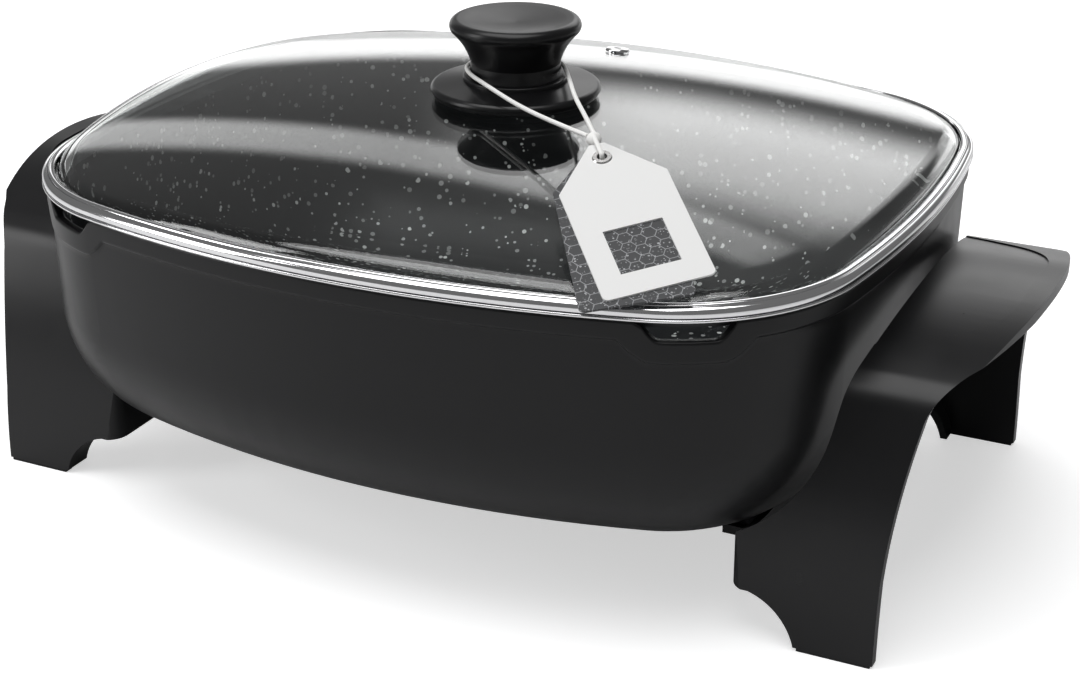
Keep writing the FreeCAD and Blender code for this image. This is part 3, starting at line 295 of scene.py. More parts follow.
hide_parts("tag_string")
print("string of", len(STRING_ROUTE), "points")

# %% [markdown]
# Several finishes share the same small effects, so each effect is a node
# group that is built once and placed where it is wanted. The first is grain:
# no moulded or sprayed surface is quite even. A fine noise is the height of a
# faint bump, and a broad one varies the roughness, so that highlights break up.

# %% Shared effect: fine grain
FINE_DETAIL = 4.0
BROAD_DETAIL = 3.0
BROAD_SHARE = 0.04
NOISE_MIDDLE = 0.5


def new_group(name, inputs, outputs):
    """An empty group, whose sockets are numbers apart from the one called Vector."""
    group = bpy.data.node_groups.new(name, "ShaderNodeTree")
    for way, labels in (("INPUT", inputs), ("OUTPUT", outputs)):
        for label in labels:
            kind = "NodeSocketVector" if label == "Vector" else "NodeSocketFloat"
            group.interface.new_socket(label, in_out=way, socket_type=kind)
    return group, group.nodes.new("NodeGroupInput"), group.nodes.new("NodeGroupOutput")


def noise_node(owner, vector, scale, detail):
    """A cloudy pattern, with a scale that comes from another node."""
    made = owner.nodes.new("ShaderNodeTexNoise")
    made.inputs["Detail"].default_value = detail
    owner.links.new(vector, made.inputs["Vector"])
    owner.links.new(scale, made.inputs["Scale"])
    return made.outputs["Fac"]


grain, grain_in, grain_out = new_group(
    "fine_grain", ("Vector", "Scale", "Roughness", "Spread"), ("Height", "Roughness"))
fine = noise_node(grain, grain_in.outputs["Vector"], grain_in.outputs["Scale"], FINE_DETAIL)
broad_scale = math_node(grain, "MULTIPLY", grain_in.outputs["Scale"], BROAD_SHARE)
broad = noise_node(grain, grain_in.outputs["Vector"], broad_scale, BROAD_DETAIL)
lean = math_node(grain, "SUBTRACT", broad, NOISE_MIDDLE)
spread = math_node(grain, "MULTIPLY", lean, grain_in.outputs["Spread"])
rough = math_node(grain, "ADD", grain_in.outputs["Roughness"], spread)
grain.links.new(fine, grain_out.inputs["Height"])
grain.links.new(rough, grain_out.inputs["Roughness"])
print("group", grain.name)

# %% [markdown]
# The pan is lined with a coating that has small pale flecks in it. They could
# be modelled or painted one by one, but a Voronoi texture divides the surface
# into cells by itself. Each cell draws a lot for whether it has a fleck, how
# large the fleck is and how bright, and most of them come out faint.

# %% Shared effect: scattered flecks
FAINTEST_FLECK = 0.25
FLECK_POWER = 2.0
flecks, flecks_in, flecks_out = new_group(
    "scattered_flecks", ("Vector", "Scale", "Size", "Share"), ("Mask",))
cells = flecks.nodes.new("ShaderNodeTexVoronoi")
flecks.links.new(flecks_in.outputs["Vector"], cells.inputs["Vector"])
flecks.links.new(flecks_in.outputs["Scale"], cells.inputs["Scale"])
lot = flecks.nodes.new("ShaderNodeSeparateColor")
flecks.links.new(cells.outputs["Color"], lot.inputs[0])
small = math_node(flecks, "MULTIPLY", flecks_in.outputs["Size"], lot.outputs[1])
near = math_node(flecks, "LESS_THAN", cells.outputs["Distance"], small)
chosen = math_node(flecks, "LESS_THAN", lot.outputs[0], flecks_in.outputs["Share"])
mostly_faint = math_node(flecks, "POWER", lot.outputs[2], FLECK_POWER)
strength = math_node(flecks, "MULTIPLY_ADD", mostly_faint, 1 - FAINTEST_FLECK, FAINTEST_FLECK)
mask = math_node(flecks, "MULTIPLY", math_node(flecks, "MULTIPLY", near, chosen), strength)
flecks.links.new(mask, flecks_out.inputs["Mask"])
print("group", flecks.name)

# %% [markdown]
# The darker of the two hanging cards has a net of pale hexagons. Blender has
# no texture for that, so it is worked out: the centres of hexagons lie on two
# equal grids, one shifted by half a step, and a point belongs to a line when
# it is far from the nearer of its two centres.

# %% Shared effect: hexagonal mesh lines
ROW = math.sqrt(3)
STEP = (1.0, ROW, 1.0)
HALF = (0.5, ROW / 2, 0.5)
KEPT_POSITIVE = 1000.0
hexes, hexes_in, hexes_out = new_group("mesh_lines", ("Vector", "Scale", "Width"), ("Mask",))


def vector_node(owner, operation, first, second=None):
    """The same for whole vectors, where a fixed one is a tuple."""
    made = owner.nodes.new("ShaderNodeVectorMath")
    made.operation = operation
    for socket, value in zip(made.inputs, (first, second)):
        if isinstance(value, tuple):
            socket.default_value = value
        elif value is not None:
            owner.links.new(value, socket)
    return made


scaled = hexes.nodes.new("ShaderNodeVectorMath")
scaled.operation = "SCALE"
hexes.links.new(hexes_in.outputs["Vector"], scaled.inputs[0])
hexes.links.new(hexes_in.outputs["Scale"], scaled.inputs["Scale"])
flat = vector_node(hexes, "MULTIPLY", scaled.outputs[0], (1.0, 1.0, 0.0))
lifted = vector_node(hexes, "ADD", flat.outputs[0], (KEPT_POSITIVE, KEPT_POSITIVE * ROW, 0.5))
first_cell = vector_node(hexes, "SUBTRACT",
                         vector_node(hexes, "MODULO", lifted.outputs[0], STEP).outputs[0], HALF)
shifted = vector_node(hexes, "SUBTRACT", lifted.outputs[0], HALF)
second_cell = vector_node(hexes, "SUBTRACT",
                          vector_node(hexes, "MODULO", shifted.outputs[0], STEP).outputs[0], HALF)


def edge_distance(cell):
    """How far a point lies from its centre towards the nearest side, where 0.5 is the side."""
    size = vector_node(hexes, "ABSOLUTE", cell.outputs[0])
    parts = hexes.nodes.new("ShaderNodeSeparateXYZ")
    hexes.links.new(size.outputs[0], parts.inputs[0])
    slanted = math_node(hexes, "ADD", math_node(hexes, "MULTIPLY", parts.outputs[0], 0.5),
                        math_node(hexes, "MULTIPLY", parts.outputs[1], ROW / 2))
    return math_node(hexes, "MAXIMUM", parts.outputs[0], slanted)


nearest = math_node(hexes, "MINIMUM", edge_distance(first_cell), edge_distance(second_cell))
limit = math_node(hexes, "SUBTRACT", 0.5, hexes_in.outputs["Width"])
hexes.links.new(math_node(hexes, "GREATER_THAN", nearest, limit), hexes_out.inputs["Mask"])
print("group", hexes.name)

# %% [markdown]
# A finish is a material with the groups placed in it. This helper makes the
# plain part, an object coordinate and a grain that drives the roughness and
# a faint bump, and each finish then adds what is its own.

# %% Helper for finishes
BUMP_STRENGTH = 0.5


def place_group(tree, group, vector, **settings):
    """A shared effect, placed in a tree with its own settings."""
    placed = tree.nodes.new("ShaderNodeGroup")
    placed.node_tree = group
    tree.links.new(vector, placed.inputs["Vector"])
    for label, value in settings.items():
        placed.inputs[label].default_value = value
    return placed


def finish(name, colour, roughness, grain_scale=900.0, grain_spread=0.08,
           bump_height=0.02, metallic=0.0, shine=0.5):
    """A material with the shared grain, and the nodes that a finish may build on."""
    material = bpy.data.materials.new(name)
    material.use_nodes = True
    tree = material.node_tree
    shader = tree.nodes["Principled BSDF"]
    shader.inputs["Base Color"].default_value = (*colour, 1)
    shader.inputs["Metallic"].default_value = metallic
    shader.inputs["Specular IOR Level"].default_value = shine
    spot = tree.nodes.new("ShaderNodeTexCoord")
    surface = place_group(tree, grain, spot.outputs["Object"], Scale=grain_scale,
                          Roughness=roughness, Spread=grain_spread)
    tree.links.new(surface.outputs["Roughness"], shader.inputs["Roughness"])
    bump = tree.nodes.new("ShaderNodeBump")
    bump.inputs["Strength"].default_value = BUMP_STRENGTH
    bump.inputs["Distance"].default_value = bump_height * MM
    tree.links.new(surface.outputs["Height"], bump.inputs["Height"])
    tree.links.new(bump.outputs[0], shader.inputs["Normal"])
    return material, tree, shader, spot


def colour_by_mask(tree, shader, mask, base, light):
    """The shader's colour goes from base to light where the mask is white."""
    mix = tree.nodes.new("ShaderNodeMix")
    mix.data_type = "RGBA"
    mix.inputs["A"].default_value = (*base, 1)
    mix.inputs["B"].default_value = (*light, 1)
    tree.links.new(mask, mix.inputs["Factor"])
    tree.links.new(mix.outputs["Result"], shader.inputs["Base Color"])


def repaint(piece, material):
    """The piece's one material is changed and its mesh is left alone."""
    if not piece.data.materials:
        piece.data.materials.append(material)
    for slot in piece.material_slots:
        slot.material = material


print("finish helpers ready")

# %% [markdown]
# The outside of the pan and the two mouldings are satin black. The inside has
# a charcoal coating with small pale flecks, so it is the same grain with the
# flecks mixed into its colour.

# %% Black finishes
coating = finish("black_coating", (0.0065, 0.0066, 0.0072), roughness=0.34, grain_scale=1400,
                 grain_spread=0.10, bump_height=0.012, shine=0.28)[0]
speckled, tree, shader, spot = finish(
    "speckled_lining", (0.02, 0.02, 0.02), roughness=0.42, grain_scale=1200,
    grain_spread=0.10, shine=0.2)
spots = place_group(tree, flecks, spot.outputs["Object"], Scale=300.0, Size=0.46, Share=0.40)
colour_by_mask(tree, shader, spots.outputs["Mask"],
               base=(0.011, 0.0115, 0.0125), light=(0.72, 0.72, 0.72))
moulding = finish("satin_moulding", (0.0065, 0.0065, 0.0072), roughness=0.30, grain_scale=1100,
                  grain_spread=0.12, shine=0.35)[0]
rubber = finish("soft_rubber", (0.014, 0.014, 0.015), roughness=0.75,
                grain_spread=0.1, bump_height=0.05, shine=0.3)[0]
print("black finishes ready")

# %% [markdown]
# The lid's rim is polished steel and mirrors the room sharply. The screws, the
# pins and the eyelet are plated, the guard is plain sheet, and the heating
# tube is dull from heat. Metals differ mostly in colour and roughness, so one
# helper with four sets of numbers is enough.

# %% Metal finishes
polished = finish("polished_rim", (0.82, 0.82, 0.83), roughness=0.09, grain_scale=700,
                  grain_spread=0.06, bump_height=0.003, metallic=1.0)[0]
plated = finish("plated_steel", (0.72, 0.71, 0.70), roughness=0.22,
                grain_spread=0.10, bump_height=0.01, metallic=1.0)[0]
sheet_steel = finish("sheet_steel", (0.52, 0.53, 0.55), roughness=0.35, grain_scale=500,
                     grain_spread=0.15, metallic=1.0)[0]
sheath = finish("oxidised_sheath", (0.20, 0.18, 0.16), roughness=0.48, grain_scale=600,
                grain_spread=0.2, bump_height=0.03, metallic=1.0)[0]
print("metal finishes ready")

# %% [markdown]
# Clear glass is left to the shader's own transmission. A lamp's shadow rays
# can't bend through it, so they are let straight through, as is the light
# that has bounced off the pan, or the inside of the pan would be black.

# %% Glass
GLASS_TINT = (0.97, 0.985, 0.98, 1)
GLASS_BENDING = 1.5
STRAIGHT_TINT = (0.93, 0.95, 0.94, 1)
glass = bpy.data.materials.new("clear_glass")
glass.use_nodes = True
tree = glass.node_tree
shader = tree.nodes["Principled BSDF"]
shader.inputs["Base Color"].default_value = GLASS_TINT
shader.inputs["Roughness"].default_value = 0.0
shader.inputs["Transmission Weight"].default_value = 1.0
shader.inputs["IOR"].default_value = GLASS_BENDING
clear = tree.nodes.new("ShaderNodeBsdfTransparent")
clear.inputs["Color"].default_value = STRAIGHT_TINT
path = tree.nodes.new("ShaderNodeLightPath")
either = math_node(tree, "MAXIMUM", path.outputs["Is Shadow Ray"], path.outputs["Is Diffuse Ray"])
mix = tree.nodes.new("ShaderNodeMixShader")
tree.links.new(either, mix.inputs[0])
tree.links.new(shader.outputs[0], mix.inputs[1])
tree.links.new(clear.outputs[0], mix.inputs[2])
tree.links.new(mix.outputs[0], tree.nodes["Material Output"].inputs["Surface"])
print("glass ready")

# %% [markdown]
# The card is coated paper with a window, and through the window shows a dark
# speckled card with pale hexagonal lines. The pattern has to lie in the
# card's own plane, so a Mapping node turns the coordinates by the card's tilt.

# %% Card and string finishes
TAG_EYE = Vector((85.6, -93.0, 193.5)) * MM
TAG_TURN = Euler((math.radians(10.7), math.radians(20.1), math.radians(-48.2)), "XYZ")
LINE_LEVEL = 0.45
DUST_LEVEL = 0.7
white_card = finish("white_card", (0.79, 0.79, 0.785), roughness=0.55, grain_scale=500,
                    bump_height=0.01)[0]
dark_card, tree, shader, spot = finish("mesh_card", (0.04, 0.041, 0.044), roughness=0.5,
                                       grain_scale=800, grain_spread=0.1)
in_plane = tree.nodes.new("ShaderNodeMapping")
in_plane.vector_type = "TEXTURE"
in_plane.inputs["Location"].default_value = TAG_EYE
in_plane.inputs["Rotation"].default_value = TAG_TURN
tree.links.new(spot.outputs["Object"], in_plane.inputs["Vector"])
lines = place_group(tree, hexes, in_plane.outputs[0], Scale=175.0, Width=0.03)
dust = place_group(tree, flecks, in_plane.outputs[0], Scale=900.0, Size=0.45, Share=0.8)
pale = math_node(tree, "MAXIMUM", math_node(tree, "MULTIPLY", lines.outputs[0], LINE_LEVEL),
                 math_node(tree, "MULTIPLY", dust.outputs[0], DUST_LEVEL))
colour_by_mask(tree, shader, pale, base=(0.035, 0.036, 0.039), light=(0.55, 0.56, 0.58))
cotton = finish("white_cotton", (0.86, 0.855, 0.84), roughness=0.8, grain_scale=1500,
                grain_spread=0.1, bump_height=0.08)[0]
string.data.materials.append(cotton)
print("card finishes ready")

# %% [markdown]
# The pan, the glass and the steel rim all follow one plan outline: two long
# bows, two short bows and four round corners, each tangent to the next. A
# point on it is found from the way the wall faces there, and moving inwards
# is then a step along that same direction.

# %% The shared plan outline
HALF_LENGTH = 200.0
HALF_WIDTH = 175.0
LONG_BOW = 480.0
SHORT_BOW = 612.0
CORNER_BOW = 88.0
long_centre = Vector((0.0, HALF_WIDTH - LONG_BOW))
short_centre = Vector((HALF_LENGTH - SHORT_BOW, 0.0))
reach_long = LONG_BOW - CORNER_BOW
reach_short = SHORT_BOW - CORNER_BOW
apart = short_centre - long_centre
forward = (reach_long ** 2 - reach_short ** 2 + apart.length_squared) / (2 * apart.length)
sideways = math.sqrt(reach_long ** 2 - forward ** 2)
heading = apart.normalized()
square_on = Vector((-heading.y, heading.x)) * sideways
corner_centre = max((long_centre + heading * forward + square_on * side for side in (-1, 1)),
                    key=lambda point: point.x)
from_short = corner_centre - short_centre
from_long = corner_centre - long_centre
SHORT_END = math.atan2(from_short.y, from_short.x)
LONG_START = math.atan2(from_long.y, from_long.x)


def quadrant_point(facing, inset):
    """A point in the back right quarter, where the wall faces that way."""
    if facing < SHORT_END:
        centre, bow = short_centre, SHORT_BOW
    elif facing < LONG_START:
        centre, bow = corner_centre, CORNER_BOW
    else:
        centre, bow = long_centre, LONG_BOW
    return centre + Vector((math.cos(facing), math.sin(facing))) * (bow - inset)


def run_to(facing):
    """The length of wall from the right end's middle to that point."""
    run = SHORT_BOW * min(facing, SHORT_END)
    run += CORNER_BOW * max(0.0, min(facing, LONG_START) - SHORT_END)
    return run + LONG_BOW * max(0.0, facing - LONG_START)


print("corner centre", corner_centre)
print("corner from", math.degrees(SHORT_END), "to", math.degrees(LONG_START), "degrees")

# %% [markdown]
# A wall is only as smooth as the points that it is drawn through, and even
# steps would spend most of them on the long sides. So the steps are long
# there, short in the corners and shortest beside the pouring notches, whose
# rounded corners are only a few millimetres across. The points go right round
# by mirroring one quarter, and each knows how far it is from a notch.

# %% Points round the outline
SIDE_STEP = 6.0
CORNER_STEP = 1.6
SPOUT_STEP = 0.8
SPOUT_REACH = 32.0
SPOUT_BEARING = math.radians(62)
NO_SPOUT = 1000.0
LAST_GAP = 0.001


def next_facing(facing):
    """The next point's facing, closer where the wall bends or a notch is cut."""
    bow = SHORT_BOW if facing < SHORT_END else CORNER_BOW if facing < LONG_START else LONG_BOW
    gap = CORNER_STEP if bow == CORNER_BOW else SIDE_STEP
    if abs(run_to(facing) - run_to(SPOUT_BEARING)) < SPOUT_REACH:
        gap = SPOUT_STEP
    return facing + gap / bow


quarter = [0.0]
while next_facing(quarter[-1]) < math.pi / 2 - LAST_GAP:
    quarter.append(next_facing(quarter[-1]))
around = []
for flip_x, flip_y, backwards in ((1, 1, False), (-1, 1, True), (-1, -1, False), (1, -1, True)):
    row = [math.pi / 2] + quarter[:0:-1] if backwards else quarter
    for facing in row:
        spout = abs(run_to(facing) - run_to(SPOUT_BEARING)) if flip_y < 0 else NO_SPOUT
        around.append((facing, flip_x, flip_y, spout))


def outline(index, inset):
    """A numbered point of the outline, moved inwards."""
    facing, flip_x, flip_y, _ = around[index]
    point = quadrant_point(facing, inset)
    return Vector((point.x * flip_x, point.y * flip_y))


print(len(around), "points round the outline")

# %% [markdown]
# One ring is drawn on the outline, and its edge is extruded from station to
# station of the wall's section. Each point remembers its number round the
# ring, so that every new ring can be set in its exact place. The radius that
# the first ring is drawn with doesn't matter, since all its points are moved.

# %% Helper that draws a wall round the outline
DRAWN_RADIUS = 0.1
MERGE_DISTANCE = 0.000004


def wall_round(name, places):
    """A wall through the places, each of which gives a point in millimetres for a number."""
    deselect_all()
    bpy.ops.mesh.primitive_circle_add(vertices=len(around), radius=DRAWN_RADIUS,
                                      location=(0, 0, 0))
    piece = bpy.context.object
    piece.name = name
    piece.data.attributes.new("number", "INT", "POINT")
    for index, value in enumerate(piece.data.attributes["number"].data):
        value.value = index
    for station, place in enumerate(places):
        bpy.ops.object.mode_set(mode="EDIT")
        if station == 0:
            bpy.ops.mesh.select_all(action="SELECT")
        else:
            bpy.ops.mesh.extrude_edges_move()
        bpy.ops.object.mode_set(mode="OBJECT")
        numbers = [value.value for value in piece.data.attributes["number"].data]
        for vertex in piece.data.vertices:
            if vertex.select:
                vertex.co = Vector(place(numbers[vertex.index])) * MM
    return piece


def merge_points(piece, outward=True):
    """Points in the same place become one, and the faces may be turned outwards."""
    pick(piece)
    bpy.ops.object.mode_set(mode="EDIT")
    bpy.ops.mesh.select_all(action="SELECT")
    bpy.ops.mesh.remove_doubles(threshold=MERGE_DISTANCE)
    if outward:
        bpy.ops.mesh.normals_make_consistent(inside=False)
    bpy.ops.object.mode_set(mode="OBJECT")


def rounded_dip(value):
    """A dip's depth, which starts steep at 0 and is flat at 1."""
    return math.sin(min(1.0, max(0.0, value)) * math.pi / 2)


print("wall helper ready")

# %% [markdown]
# The pan is cast in one piece. Its wall leans in a little towards the floor,
# and a low band runs round the top and dips under each of the two pouring
# notches. The frame gives the lower part with its ridge, socket and bosses,
# so a copy of it is cut off level and the new wall is bridged onto it.

# %% Pan sizes
PAN_TOP = 153.2
PAN_BASE = 37.0
PAN_INSET = 2.7
PAN_DRAFT = 2.8
PAN_WALL = 3.6
BAND_HEIGHT = 8.6
BAND_INSET = 1.6
NOTCH_DEPTH = 8.0
NOTCH_FLAT = 11.0
NOTCH_HALF = 20.0
DIP_DEPTH = 9.0
DIP_FLAT = 14.0
DIP_HALF = 28.5
CUT_HEIGHT = 99.0
FIRST_RING = 114.0
SECOND_RING = 124.0


def wall_inset(height, inner):
    """How far the wall stands in from the outline at a height."""
    inset = PAN_INSET + PAN_DRAFT * (PAN_TOP - height) / (PAN_TOP - PAN_BASE)
    return inset + PAN_WALL if inner else inset


def level(height, inner=False):
    """A level ring on the outside or the inside of the wall."""
    return lambda index: (*outline(index, wall_inset(height, inner)), height)


def by_band(rise, inset=None):
    """A ring that follows the band's lower edge, with its dips."""
    def place(index):
        share = (DIP_HALF - around[index][3]) / (DIP_HALF - DIP_FLAT)
        height = PAN_TOP - BAND_HEIGHT - DIP_DEPTH * rounded_dip(share) + rise
        return (*outline(index, inset or wall_inset(height, False)), height)
    return place


def by_top(drop, inset=None):
    """A ring that follows the pan's top edge, with its notches."""
    def place(index):
        share = (NOTCH_HALF - around[index][3]) / (NOTCH_HALF - NOTCH_FLAT)
        height = PAN_TOP - NOTCH_DEPTH * rounded_dip(share) - drop
        return (*outline(index, inset or wall_inset(height, True)), height)
    return place


print("pan wall leans", PAN_DRAFT, "mm")

# %% [markdown]
# The wall is one section with eighteen stations: up the outside, over the
# band, across the top edge and down the inside. The stations of the band and
# of the top edge dip at the notches by themselves. Notches could also be cut
# out with a Boolean, but that leaves ragged triangles round every corner.

# %% Pan wall
upper = wall_round("pan_upper", [
    level(FIRST_RING), level(SECOND_RING), by_band(-3.0), by_band(-0.5), by_band(0.0, 2.5),
    by_band(0.35, 1.95), by_band(0.9, 1.65), by_band(1.6, BAND_INSET), by_top(1.6, BAND_INSET),
    by_top(0.8, 1.7), by_top(0.25, 2.1), by_top(0.0, 2.8), by_top(0.0, 5.0), by_top(0.3, 5.9),
    by_top(1.0, 6.25), by_top(2.2), level(SECOND_RING, True), level(FIRST_RING, True)])
print("pan wall", triangles(upper), "triangles")

# %% [markdown]
# The lower part and the new wall are open where they meet, each with an outer
# and an inner loop of edges. An edge is open if only one face has it, and it
# is sorted to the outside or the inside by the middle of the wall. Each pair
# of loops is then bridged. That leaves slim triangles, which would show as
# marks on a glossy wall, so the larger faces are given more weight in shading.

# %% Join the wall to the frame's lower part
CUT_MERGE = 0.5
NEAR_CUT = 1.0


def merged_copy(node, name):
    """A copy of a piece of the frame, with its loose triangles merged."""
    piece = nodes[node].copy()
    piece.data = nodes[node].data.copy()
    piece.name = name
    piece.parent = None
    for key in list(piece.keys()):
        del piece[key]
    scene.collection.objects.link(piece)
    merge_points(piece, outward=False)
    return piece


pan = merged_copy("pan", "pan_body")
pick(pan)
bpy.ops.object.mode_set(mode="EDIT")
bpy.ops.mesh.select_all(action="SELECT")
bpy.ops.mesh.bisect(plane_co=(0, 0, CUT_HEIGHT * MM), plane_no=(0, 0, 1), clear_outer=True)
bpy.ops.mesh.remove_doubles(threshold=CUT_MERGE * MM)
bpy.ops.object.mode_set(mode="OBJECT")
pan.select_set(True)
upper.select_set(True)
bpy.context.view_layer.objects.active = pan
bpy.ops.object.join()

open_edges = set()
for face in pan.data.polygons:
    for key in face.edge_keys:
        open_edges ^= {key}
middle_inset = wall_inset(CUT_HEIGHT, False) + PAN_WALL / 2
middle_wall = [outline(index, middle_inset) * MM for index in range(len(around))]


def is_outside(point):
    """Whether the point lies on the outer side of the wall's middle."""
    near = min(middle_wall, key=lambda place: (place - point.xy).length_squared)
    return point.xy.length > near.length


points = pan.data.vertices
for outside in (True, False):
    pick(pan)
    bpy.ops.object.mode_set(mode="EDIT")
    bpy.ops.mesh.select_mode(type="EDGE")
    bpy.ops.mesh.select_all(action="DESELECT")
    bpy.ops.object.mode_set(mode="OBJECT")
    for edge in pan.data.edges:
        first, second = (points[i].co for i in edge.vertices)
        height = (first.z + second.z) / 2 / MM
        at_cut = CUT_HEIGHT - NEAR_CUT < height < FIRST_RING + NEAR_CUT
        if edge.key in open_edges and at_cut and is_outside((first + second) / 2) == outside:
            edge.select = True
    bpy.ops.object.mode_set(mode="EDIT")
    bpy.ops.mesh.bridge_edge_loops()
    bpy.ops.mesh.select_mode(type="VERT")
    bpy.ops.object.mode_set(mode="OBJECT")
merge_points(pan)
smooth(pan, degrees=35)
weigh_normals(pan)
print("pan", triangles(pan), "triangles")

# %% [markdown]
# The speckled lining covers the pan's floor and the inside of its wall, up to
# just below the notches, and everything else has the black coating. A second
# mesh for the lining would flicker against the first, so there is one mesh
# with two materials, and each face takes one by its height and its facing.

# %% Finishes on the pan
LINING_FROM = 41.5
LINING_GAP = 1.5
LINING_TO = PAN_TOP - NOTCH_DEPTH - LINING_GAP
FLOOR_BELOW = 100.0
FACES_UP = 0.5
FACES_IN = 0.002
for slot_index in reversed(range(len(pan.material_slots))):
    pan.active_material_index = slot_index
    bpy.ops.object.material_slot_remove()
pan.data.materials.append(coating)
pan.data.materials.append(speckled)
for face in pan.data.polygons:
    middle = face.center
    inward = -(face.normal.x * middle.x + face.normal.y * middle.y) > FACES_IN
    on_floor = face.normal.z > FACES_UP and middle.z < FLOOR_BELOW * MM
    within = LINING_FROM < middle.z / MM < LINING_TO
    face.material_index = int(within and (inward or on_floor))
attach(pan, "base")
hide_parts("pan")
print(sum(f.material_index for f in pan.data.polygons), "faces of lining")

# %% [markdown]
# The lid's glass is pressed with a flat flange that sits in the steel rim, a
# round shoulder and a bowed top. Its wall is drawn round the same outline as
# one closed section: along the flange, over the shoulder, across the bow to
# the knob's hole, and back underneath.

# %% Glass lid
GLASS_TOP = 184.0
GLASS_WALL = 4.0
BOW_ALONG = 1300.0
BOW_ACROSS = 700.0
SEAT = 154.6
FLANGE_EDGE = 1.1
FLANGE_BREAK = 0.5
GLASS_INSET = 6.6
SHOULDER = 7.0
LIFT_ABOVE = 0.05
LIFT_BELOW = 0.4
HOLE_RADIUS = 3.5
SHOULDER_STEPS = 7
BOW_STEPS = 18


def bow_height(x, y, drop):
    """The height of the bowed top, or of the surface that lies below it by the drop."""
    across = BOW_ACROSS - drop
    along = BOW_ALONG - drop
    ridge = GLASS_TOP - drop - across + math.sqrt(across ** 2 - y ** 2)
    reach = along - (GLASS_TOP - drop - ridge)
    return GLASS_TOP - drop - along + math.sqrt(reach ** 2 - x ** 2)


def flange(inset, height):
    """A level ring at an inset from the outline."""
    return lambda index: (*outline(index, inset), height)


def shoulder_ring(turn, drop, lowest):
    """A ring on the round shoulder, from upright at 0 to flat at 1."""
    radius = SHOULDER - drop / 2
    angle = turn * math.pi / 2

    def place(index):
        point = outline(index, GLASS_INSET + drop + radius * (1 - math.cos(angle)))
        height = bow_height(point.x, point.y, drop) - radius * (1 - math.sin(angle))
        return (*point, max(height, lowest))
    return place


def bow_ring(share, drop):
    """A ring on the bow, from the shoulder at 0 to the hole at 1."""
    radius = SHOULDER - drop / 2

    def place(index):
        edge = outline(index, GLASS_INSET + drop + radius)
        point = edge.lerp(edge.normalized() * HOLE_RADIUS, share)
        return (*point, bow_height(point.x, point.y, drop))
    return place


turns = [i / SHOULDER_STEPS for i in range(SHOULDER_STEPS + 1)]
shares = [i / BOW_STEPS for i in range(1, BOW_STEPS + 1)]
flange_top = SEAT + GLASS_WALL
section = [flange(GLASS_INSET + GLASS_WALL, SEAT), flange(FLANGE_EDGE + FLANGE_BREAK, SEAT),
           flange(FLANGE_EDGE, SEAT + FLANGE_BREAK), flange(FLANGE_EDGE, flange_top - FLANGE_BREAK),
           flange(FLANGE_EDGE + FLANGE_BREAK, flange_top), flange(GLASS_INSET, flange_top)]
section += [shoulder_ring(turn, 0, flange_top + LIFT_ABOVE) for turn in turns]
section += [bow_ring(share, 0) for share in shares]
section += [bow_ring(share, GLASS_WALL) for share in reversed(shares)]
section += [shoulder_ring(turn, GLASS_WALL, SEAT + LIFT_BELOW) for turn in reversed(turns)]
section += [section[0]]
lid_glass = wall_round("lid_glass_bow", section)
merge_points(lid_glass)
smooth(lid_glass, degrees=40)
repaint(lid_glass, glass)
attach(lid_glass, "lid")
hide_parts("lid_glass")
print("glass", triangles(lid_glass), "triangles")

# %% [markdown]
# The steel rim is rolled from thin sheet. From below its section shows a
# round bead, a tight groove, a flat, a sloping face and a second bead that
# closes on the glass, and these are what break its mirror into fine lines.
# The bottoms of the two grooves and the skirt that hangs into the pan behind
# the notches get a dark matt material, which is painted shade for these recesses.

# %% Steel rim
RIM_LOW = 153.5
RIM_SECTION = [
    (9.6, 0.8), (9.6, -5.0), (8.8, -5.0), (8.8, 0.0), (1.4, 0.0), (0.5, 0.06), (0.13, 0.3),
    (0.0, 0.75), (0.13, 1.2), (0.4, 1.42), (0.9, 1.5), (0.9, 2.0), (0.4, 2.1), (0.25, 2.4),
    (0.25, 3.6), (0.4, 4.3), (0.9, 5.2), (1.7, 5.9), (2.5, 6.2), (2.7, 5.95), (3.1, 5.95),
    (3.2, 6.5), (3.7, 6.85), (4.5, 7.0), (5.3, 6.9), (5.9, 6.55), (6.1, 6.2), (3.3, 5.6),
    (2.3, 5.5), (1.4, 5.2), (1.05, 4.6), (1.05, 0.8), (9.6, 0.8)]
# Heights on the rim's section that take the painted shade.
PAINTED_SHADE_RANGES = ((-5.0, 0.0), (1.45, 2.05), (5.9, 6.0))
SLACK = 0.01
rim = wall_round("lid_rim_rolled", [flange(inset, RIM_LOW + rise) for inset, rise in RIM_SECTION])
merge_points(rim)
smooth(rim, degrees=50)
repaint(rim, polished)
# A dark matt material paints shade into the grooves and onto the skirt.
painted_groove_shade = finish("painted_groove_shade", (0.03, 0.03, 0.032), roughness=0.5)[0]
rim.data.materials.append(painted_groove_shade)
painted_shade_faces = 0
for face in rim.data.polygons:
    rises = [rim.data.vertices[i].co.z / MM - RIM_LOW for i in face.vertices]
    if any(low - SLACK <= min(rises) and max(rises) <= high + SLACK for low, high in PAINTED_SHADE_RANGES):
        face.material_index = 1
        painted_shade_faces += 1
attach(rim, "lid")
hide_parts("lid_rim")
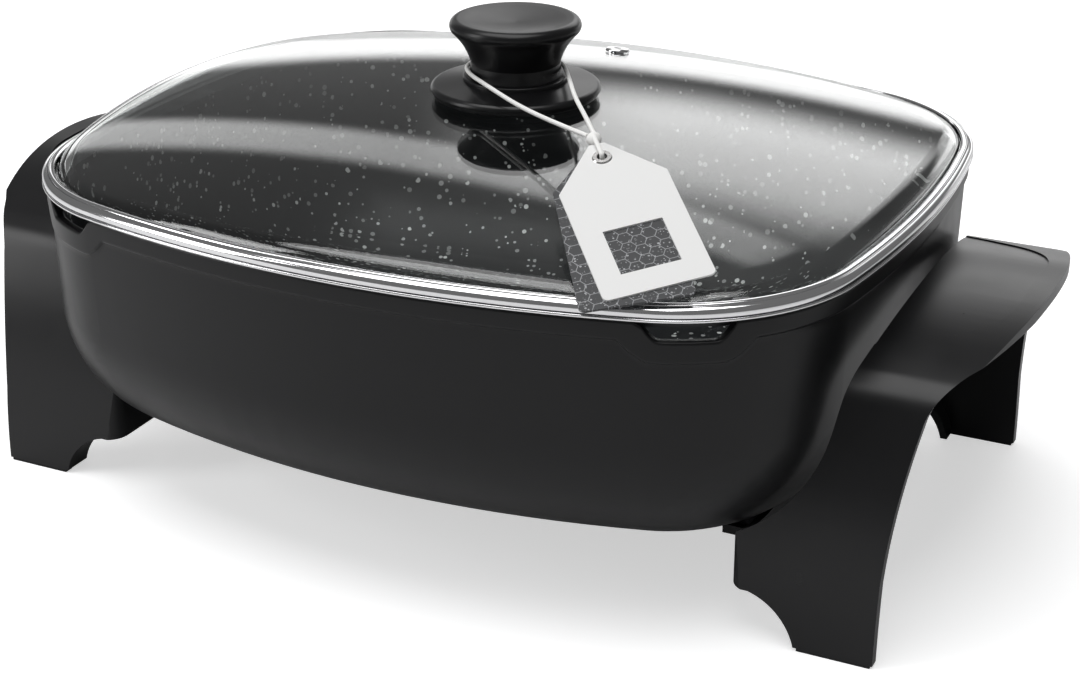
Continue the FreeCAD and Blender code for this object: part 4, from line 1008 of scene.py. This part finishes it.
print("rim", triangles(rim), "triangles,", painted_shade_faces, "in the grooves")

# %% [markdown]
# The two end brackets are moulded, so their edges are softly rounded. A
# merged copy of each is cleared of needless edges, and a Bevel modifier
# rounds what stays sharp, which draws the thin light line along each edge.
# The large faces decide the shading here too, so that they stay even.

# %% Brackets
EDGE_ROUND = 0.9 * MM
EDGE_SEGMENTS = 3
SHARP_FROM = math.radians(40)
FLAT_WITHIN = math.radians(0.4)
for side in ("right", "left"):
    piece = merged_copy(side + "_bracket", side + "_moulding")
    pick(piece)
    bpy.ops.object.mode_set(mode="EDIT")
    bpy.ops.mesh.select_all(action="SELECT")
    bpy.ops.mesh.dissolve_limited(angle_limit=FLAT_WITHIN)
    bpy.ops.object.mode_set(mode="OBJECT")
    bevel = piece.modifiers.new("edges", "BEVEL")
    bevel.width = EDGE_ROUND
    bevel.segments = EDGE_SEGMENTS
    bevel.limit_method = "ANGLE"
    bevel.angle_limit = SHARP_FROM
    bevel.use_clamp_overlap = True
    apply_all(piece)
    smooth(piece, degrees=35)
    weigh_normals(piece)
    repaint(piece, moulding)
    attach(piece, "base")
    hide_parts(side + "_bracket")
    print(piece.name, triangles(piece), "triangles")

# %% [markdown]
# The small pieces are already right in shape, such as the knob's three turned
# parts, the vent, the screws and washers, the feet, the guard with its pins
# and the two cards. Making them again would show no more, so their meshes are
# left alone and each one only gets its finish.

# %% Finishes on the frame's own pieces
for name, material in (
        ("heating_element", sheath), ("terminal_pins", plated), ("inlet_guard", sheet_steel),
        ("bracket_screws_left", plated), ("bracket_screws_right", plated),
        ("steam_vent", polished),
        ("knob_base", moulding), ("knob_collar", moulding), ("knob_grip", moulding),
        ("knob_gasket", rubber), ("screw_gasket", rubber), ("knob_washer", plated),
        ("knob_screw", plated), ("tag_card", white_card), ("tag_backing", dark_card),
        ("tag_eyelet", plated), ("tag_knot", cotton)):
    repaint(nodes[name], material)
for name in nodes:
    if name.startswith("foot_pad"):
        repaint(nodes[name], rubber)
print("finishes placed")
